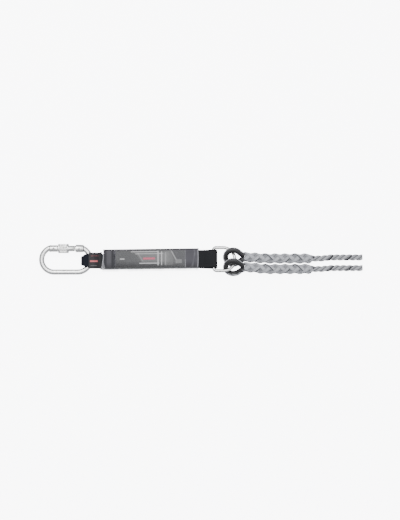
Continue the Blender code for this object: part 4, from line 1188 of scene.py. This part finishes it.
# Grey card with empty frames and rules: nothing is written on it. u and v are millimetres from its middle.
def labelLook():
    net = Net("labelCard")
    _, _, _, place, u, v = packPlace(net)
    cloud = net.noise(place, 45.0, 3.0)
    rules = (
        v.band(13.0, 14.8, 0.4) * u.band(-37.0, 14.0, 1.5) * 0.8
        + v.band(9.2, 10.8, 0.4) * u.band(-29.0, 24.0, 1.5) * 0.7
        + u.band(13.4, 15.8, 0.5) * v.band(-12.0, 15.0, 1.5)
        + u.band(20.4, 22.4, 0.4) * v.band(-12.0, 14.0, 1.5)
        + u.band(28.0, 30.0, 0.8) * v.band(-12.0, 12.0, 2.0) * 0.4
        + (u + v * 0.62 + 17.0).band(-0.9, 0.9, 0.8) * v.band(-5.0, 11.0, 2.0) * 0.3
        + (u + v * 0.55 - 48.0).band(-1.0, 1.0, 0.7) * v.band(-2.0, 15.0, 2.0) * 0.6
    ).min(1.0)
    wedge = (u + v * 0.7).ramp(-22.0, -18.0) * u.ramp(30.0, 40.0, 1.0, 0.0) * v.band(-6.0, 12.0, 2.0)
    panel = u.band(25.0, 43.0, 1.5) * v.band(-12.0, 15.0, 2.0)
    dusk = (u + v * 0.45).ramp(46.0, 49.0) * v.ramp(-13.0, -6.0, 0.5, 1.0)
    rose = v.band(-1.0, 2.6, 0.5) * u.band(-14.0, 8.6, 0.8)
    pale = v.band(-9.2, -7.2, 0.5) * u.band(-21.0, 17.0, 1.0)
    small = v.band(-0.6, 1.4, 0.5) * u.band(-58.0, -49.5, 0.8)
    patch = u.band(48.0, 60.0, 1.0) * v.band(-8.5, -1.5, 0.8)
    colour = net.paint(
        net.mix(u.ramp(-60.0, 30.0), (0.066, 0.067, 0.068), (0.096, 0.097, 0.098)),
        (cloud.ramp(0.3, 0.7) * 0.2, (0.06, 0.06, 0.064)),
        ((v + u * 0.03).ramp(-16.0, -2.0, 1.0, 0.0) * 0.97, (0.012, 0.012, 0.014)),
        (v.ramp(13.5, 17.0) * 0.5, (0.04, 0.04, 0.043)),
        (wedge * 0.22, (0.30, 0.30, 0.30)),
        (panel * 0.2, (0.25, 0.253, 0.25)),
        (dusk * 0.6, (0.05, 0.05, 0.055)),
        (rules * 0.85, (0.50, 0.50, 0.50)),
        (rose * 0.95, (0.52, 0.09, 0.15)),
        (pale * 0.85, (0.48, 0.48, 0.49)),
        (small * 0.9, (0.50, 0.50, 0.50)),
        (patch * 0.3, (0.40, 0.40, 0.40)),
    )
    normal = net.bump(cloud, 0.1, 0.0002)
    return net.surface(Base_Color=colour, Roughness=0.5 + cloud * 0.1, Normal=normal, Specular_IOR_Level=0.3)


# Card: two flat sheets, top and underside, very slightly bowed by a product of a sine and a cosine
def makeLabel():
    low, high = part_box("pack_label")
    x, y = np.linspace(low[0], high[0], 120), np.linspace(low[1], high[1], 30)
    gx, gy = np.meshgrid(x, y, indexing="ij")
    wave = 0.05 * mm * np.sin((gx - packSizes["centre"]) * 70) * np.cos((gy - packSizes["side"]) * 90)
    top = np.stack([gx, gy, high[2] + wave - 0.05 * mm], -1)
    under = np.stack([gx, gy, low[2] + wave + 0.05 * mm], -1)
    points = np.concatenate([top, under[:, ::-1]], 1)
    obj = gridMesh("packLabel", points, gridUv(x, np.arange(points.shape[1] + 1.0)))
    turnWithPack(obj)
    dress(obj, labelLook(), "pack", "label_card", "pack_label")


# Clear shrink film: see-through along the label, smoky and purple-grey over both ends, with soft streaks at
# the left end, a painted highlight along each end edge and along creases near the ends, and painted shadow
# where it turns down past the webbing. Its sides and underside are a clear, milky streaked film. u and v are
# millimetres from the pack's middle, around is 0 to 1 round the tube from the +Y top corner.
def filmLook():
    net = Net("clearFilm")
    x, y, z, _, u, v = packPlace(net)
    half = (packSizes["right"] - packSizes["left"]) * 500
    fromLeft, fromRight = u + half, half - u
    streak = net.noise(net.join(x, y * 0.1, z * 0.1), 110.0, 1.0, 0.4)
    crease = net.noise(net.join(x * 0.3, y, z), 45.0, 1.0, 0.4)
    fine = net.noise(net.join(x, y * 0.22, z * 0.22), 75.0, 1.0, 0.4)
    around = net.uv()[1]
    crown = around.ramp(0.0, 0.01) * around.ramp(0.277, 0.295, 1.0, 0.0)
    atLeft, atRight = fromLeft.ramp(20.5, 23.5, 1.0, 0.0), fromRight.ramp(24.8, 26.2, 1.0, 0.0)
    pale = fromLeft.band(8.0, 17.5, 2.5) * 0.8 + (streak - 0.5) * 0.5
    leftTone = net.mix(pale.max(0.0).min(1.0), (0.030, 0.030, 0.034), (0.082, 0.080, 0.088))
    rightTone = net.mix(crease.ramp(0.3, 0.7), (0.056, 0.054, 0.062), (0.070, 0.068, 0.078))
    start, reach, _ = (size * 1000 for size in packSizes["flange"])
    outer = start - v.ramp(-18.8, 18.8, 1.0, 0.0) ** 3.0 * reach
    flange = (fromLeft - v.ramp(-18.0, -5.0, 5.4, 2.6)).ramp(-0.5, 0.5, 1.0, 0.0)
    # painted highlight: light lines along the left and right end edges and where the right end tucks in
    leftEdgeHighlight = (fromLeft - outer).band(0.2, 1.1, 0.4)
    rightEdgeHighlight = (fromRight - v * v * 0.0036).band(0.6, 1.5, 0.45)
    tuck = fromRight.band(24.6, 26.0, 0.5) * v.ramp(-4.0, 0.0, 1.0, 0.35)
    # painted highlight: thin light lines along creases near the ends, gathered with the edge highlights
    creaseHighlightWeight = fromLeft.ramp(18.0, 30.0, 0.35, 0.0) + fromRight.ramp(20.0, 34.0, 0.12, 0.0)
    fold = (fine - 0.5).abs().ramp(0.0, 0.035, 1.0, 0.0) * creaseHighlightWeight * crease.ramp(0.35, 0.6)
    edgeHighlight = (leftEdgeHighlight * 0.7 + rightEdgeHighlight * 0.55 + tuck * 0.3 + fold).min(1.0)
    turnDown = 1 - (v + 17.2).ramp(0.0, 2.2) * (17.6 - v).ramp(0.0, 1.6)
    hem = v.ramp(-17.8, -17.2, 1.0, 0.0)
    colour = net.paint(
        net.mix(atLeft, (0.08, 0.08, 0.085), leftTone),
        (atRight, rightTone),
        (v.ramp(-17.0, -3.0, 0.6, 0.0) * (atLeft + atRight), (0.025, 0.025, 0.028)),
        (flange * 0.9, (0.40, 0.40, 0.42)),
        # painted highlight along the end edges and creases
        (edgeHighlight, (0.50, 0.50, 0.53)),
        (turnDown * (1 - flange) * 0.9, (0.027, 0.027, 0.029)),
        (hem, (0.14, 0.14, 0.145)),
    )
    alpha = (0.07 + crease * 0.05 + atLeft * 0.72 + atRight * 0.75 + turnDown * 0.8).min(1.0)
    alpha = (alpha * (1 - flange) + flange * 0.22 + edgeHighlight * 0.4).min(1.0)
    edge = v.ramp(17.0, 17.6) * u.ramp(-90.0, 30.0, 0.75, 0.97)
    alpha = alpha * (v.ramp(17.0, 17.6, 1.0, 0.0) * (1 - hem)) + hem * 0.93 + edge
    milk = streak.ramp(0.4, 0.75, 0.4, 0.6) + fromLeft.min(fromRight).ramp(16.0, 36.0, 0.3, 0.0) + edgeHighlight * 0.4
    alpha = crown * alpha + (1 - crown) * milk.min(1.0)
    colour = net.mix(crown, (0.115, 0.115, 0.122), colour)
    normal = net.bump(streak * (atLeft + atRight * 0.3) + crease * 0.5, 0.25, 0.0008)
    gloss = 0.38 + crease * 0.06
    return net.surface(Base_Color=colour, Roughness=gloss, Alpha=alpha, Normal=normal, Specular_IOR_Level=0.1)


# The film's welded edge: thin, pale and nearly clear
def finLook():
    net = Net("finFilm")
    x, y, z, _, _, out = packPlace(net)
    wrinkle = net.noise(net.join(x, y * 0.3, z * 0.3), 160.0, 2.0)
    alpha = (wrinkle.ramp(0.3, 0.7, 0.08, 0.22) + out.ramp(-20.6, -18.9) * 0.7).min(1.0)
    normal = net.bump(wrinkle, 0.3, 0.0006)
    return net.surface(Base_Color=(0.12, 0.12, 0.125), Roughness=0.3, Alpha=alpha, Normal=normal)


filmWaves = {"count": 7, "seed": 7, "height": 0.55 * mm, "reach": 9 * mm}


# Film tube: rounded-rectangle sections narrowing at both ends, puckered by a sum of sines that fades away
# from the ends. Its left end is drawn in at +Y and let out at -Y. Fin: a thin wavy strip along its -Y side.
def makeFilm():
    p = packSizes
    left, right, full = p["left"], p["right"], p["height"]
    ends = np.linspace(0, 30 * mm, 70)
    x = np.concatenate([left + ends, np.linspace(left + 31 * mm, right - 31 * mm, 90), right - ends[::-1]])
    inset = np.minimum(x - left, right - x)
    height = np.interp(inset, *p["shoulder"]) * full / p["shoulder"][1][-1]
    middle = full / 2 + filmLow[2] + (p["middle"] - full / 2 - filmLow[2]) * (full - height) / full
    rng = np.random.default_rng(filmWaves["seed"])
    limits = (200, 900), (0, 2 * pi), (-150, 150)
    waves = [[rng.uniform(*pair) for pair in limits] for _ in range(filmWaves["count"])]

    def puckers(points):
        px, py = points[..., 0], points[..., 1]
        fade = np.exp(-np.minimum(px - left, right - px) / filmWaves["reach"])
        total = sum(np.sin(k * py + lean * px + start) for k, start, lean in waves) / len(waves)
        slow = 1 + np.sin(px * 95 + 1.0) * np.cos(py * 140) + 0.6 * np.sin(px * 211 + py * 60)
        lift = filmWaves["height"] * total * fade + 0.05 * mm * slow * (1 - fade)
        lift = np.where(points[..., 2] > p["middle"], lift, 0.0)
        start, reach, length = p["flange"]
        low = np.clip((p["side"] + p["halfWidth"] - py) / (2 * p["halfWidth"]), 0, 1)
        slant = (start - reach * low**3) * ease(1 - (px - left) / length)
        return np.stack([slant, lift * 0, np.clip(lift, -0.1 * mm, 1.0 * mm)], -1)

    width = np.full(len(x), p["halfWidth"] + p["bulge"])
    obj = flatSleeve("packFilm", x, p["side"], width, height / 2, middle, p["corner"], p["filmWall"], puckers)
    turnWithPack(obj)
    dress(obj, filmLook(), "pack", "clear_film", "pack_film")
    obj.visible_shadow = False
    gx, gy = np.meshgrid(np.linspace(left, right, 200), np.linspace(0, 1, 8), indexing="ij")
    wave = 0.35 * mm * np.sin(gx * 160) * gy + 0.2 * mm * np.sin(gx * 410 + 1) * gy
    y = p["side"] - p["halfWidth"] + 0.1 * mm - gy * p["fin"] + 0.15 * mm * np.sin(gx * 240) * gy
    top = np.stack([gx, y, p["middle"] + 0.2 * mm + wave], -1)
    both = np.concatenate([top, (top - [0, 0, 0.4 * mm])[:, ::-1]], 1)
    fin = gridMesh("filmFin", both, gridUv(gx[:, 0], np.arange(17.0)))
    turnWithPack(fin)
    dress(fin, finLook(), "pack", "clear_film")
    fin.visible_shadow = False


makeTapes()
makeLabel()
makeFilm()
print("pack made")
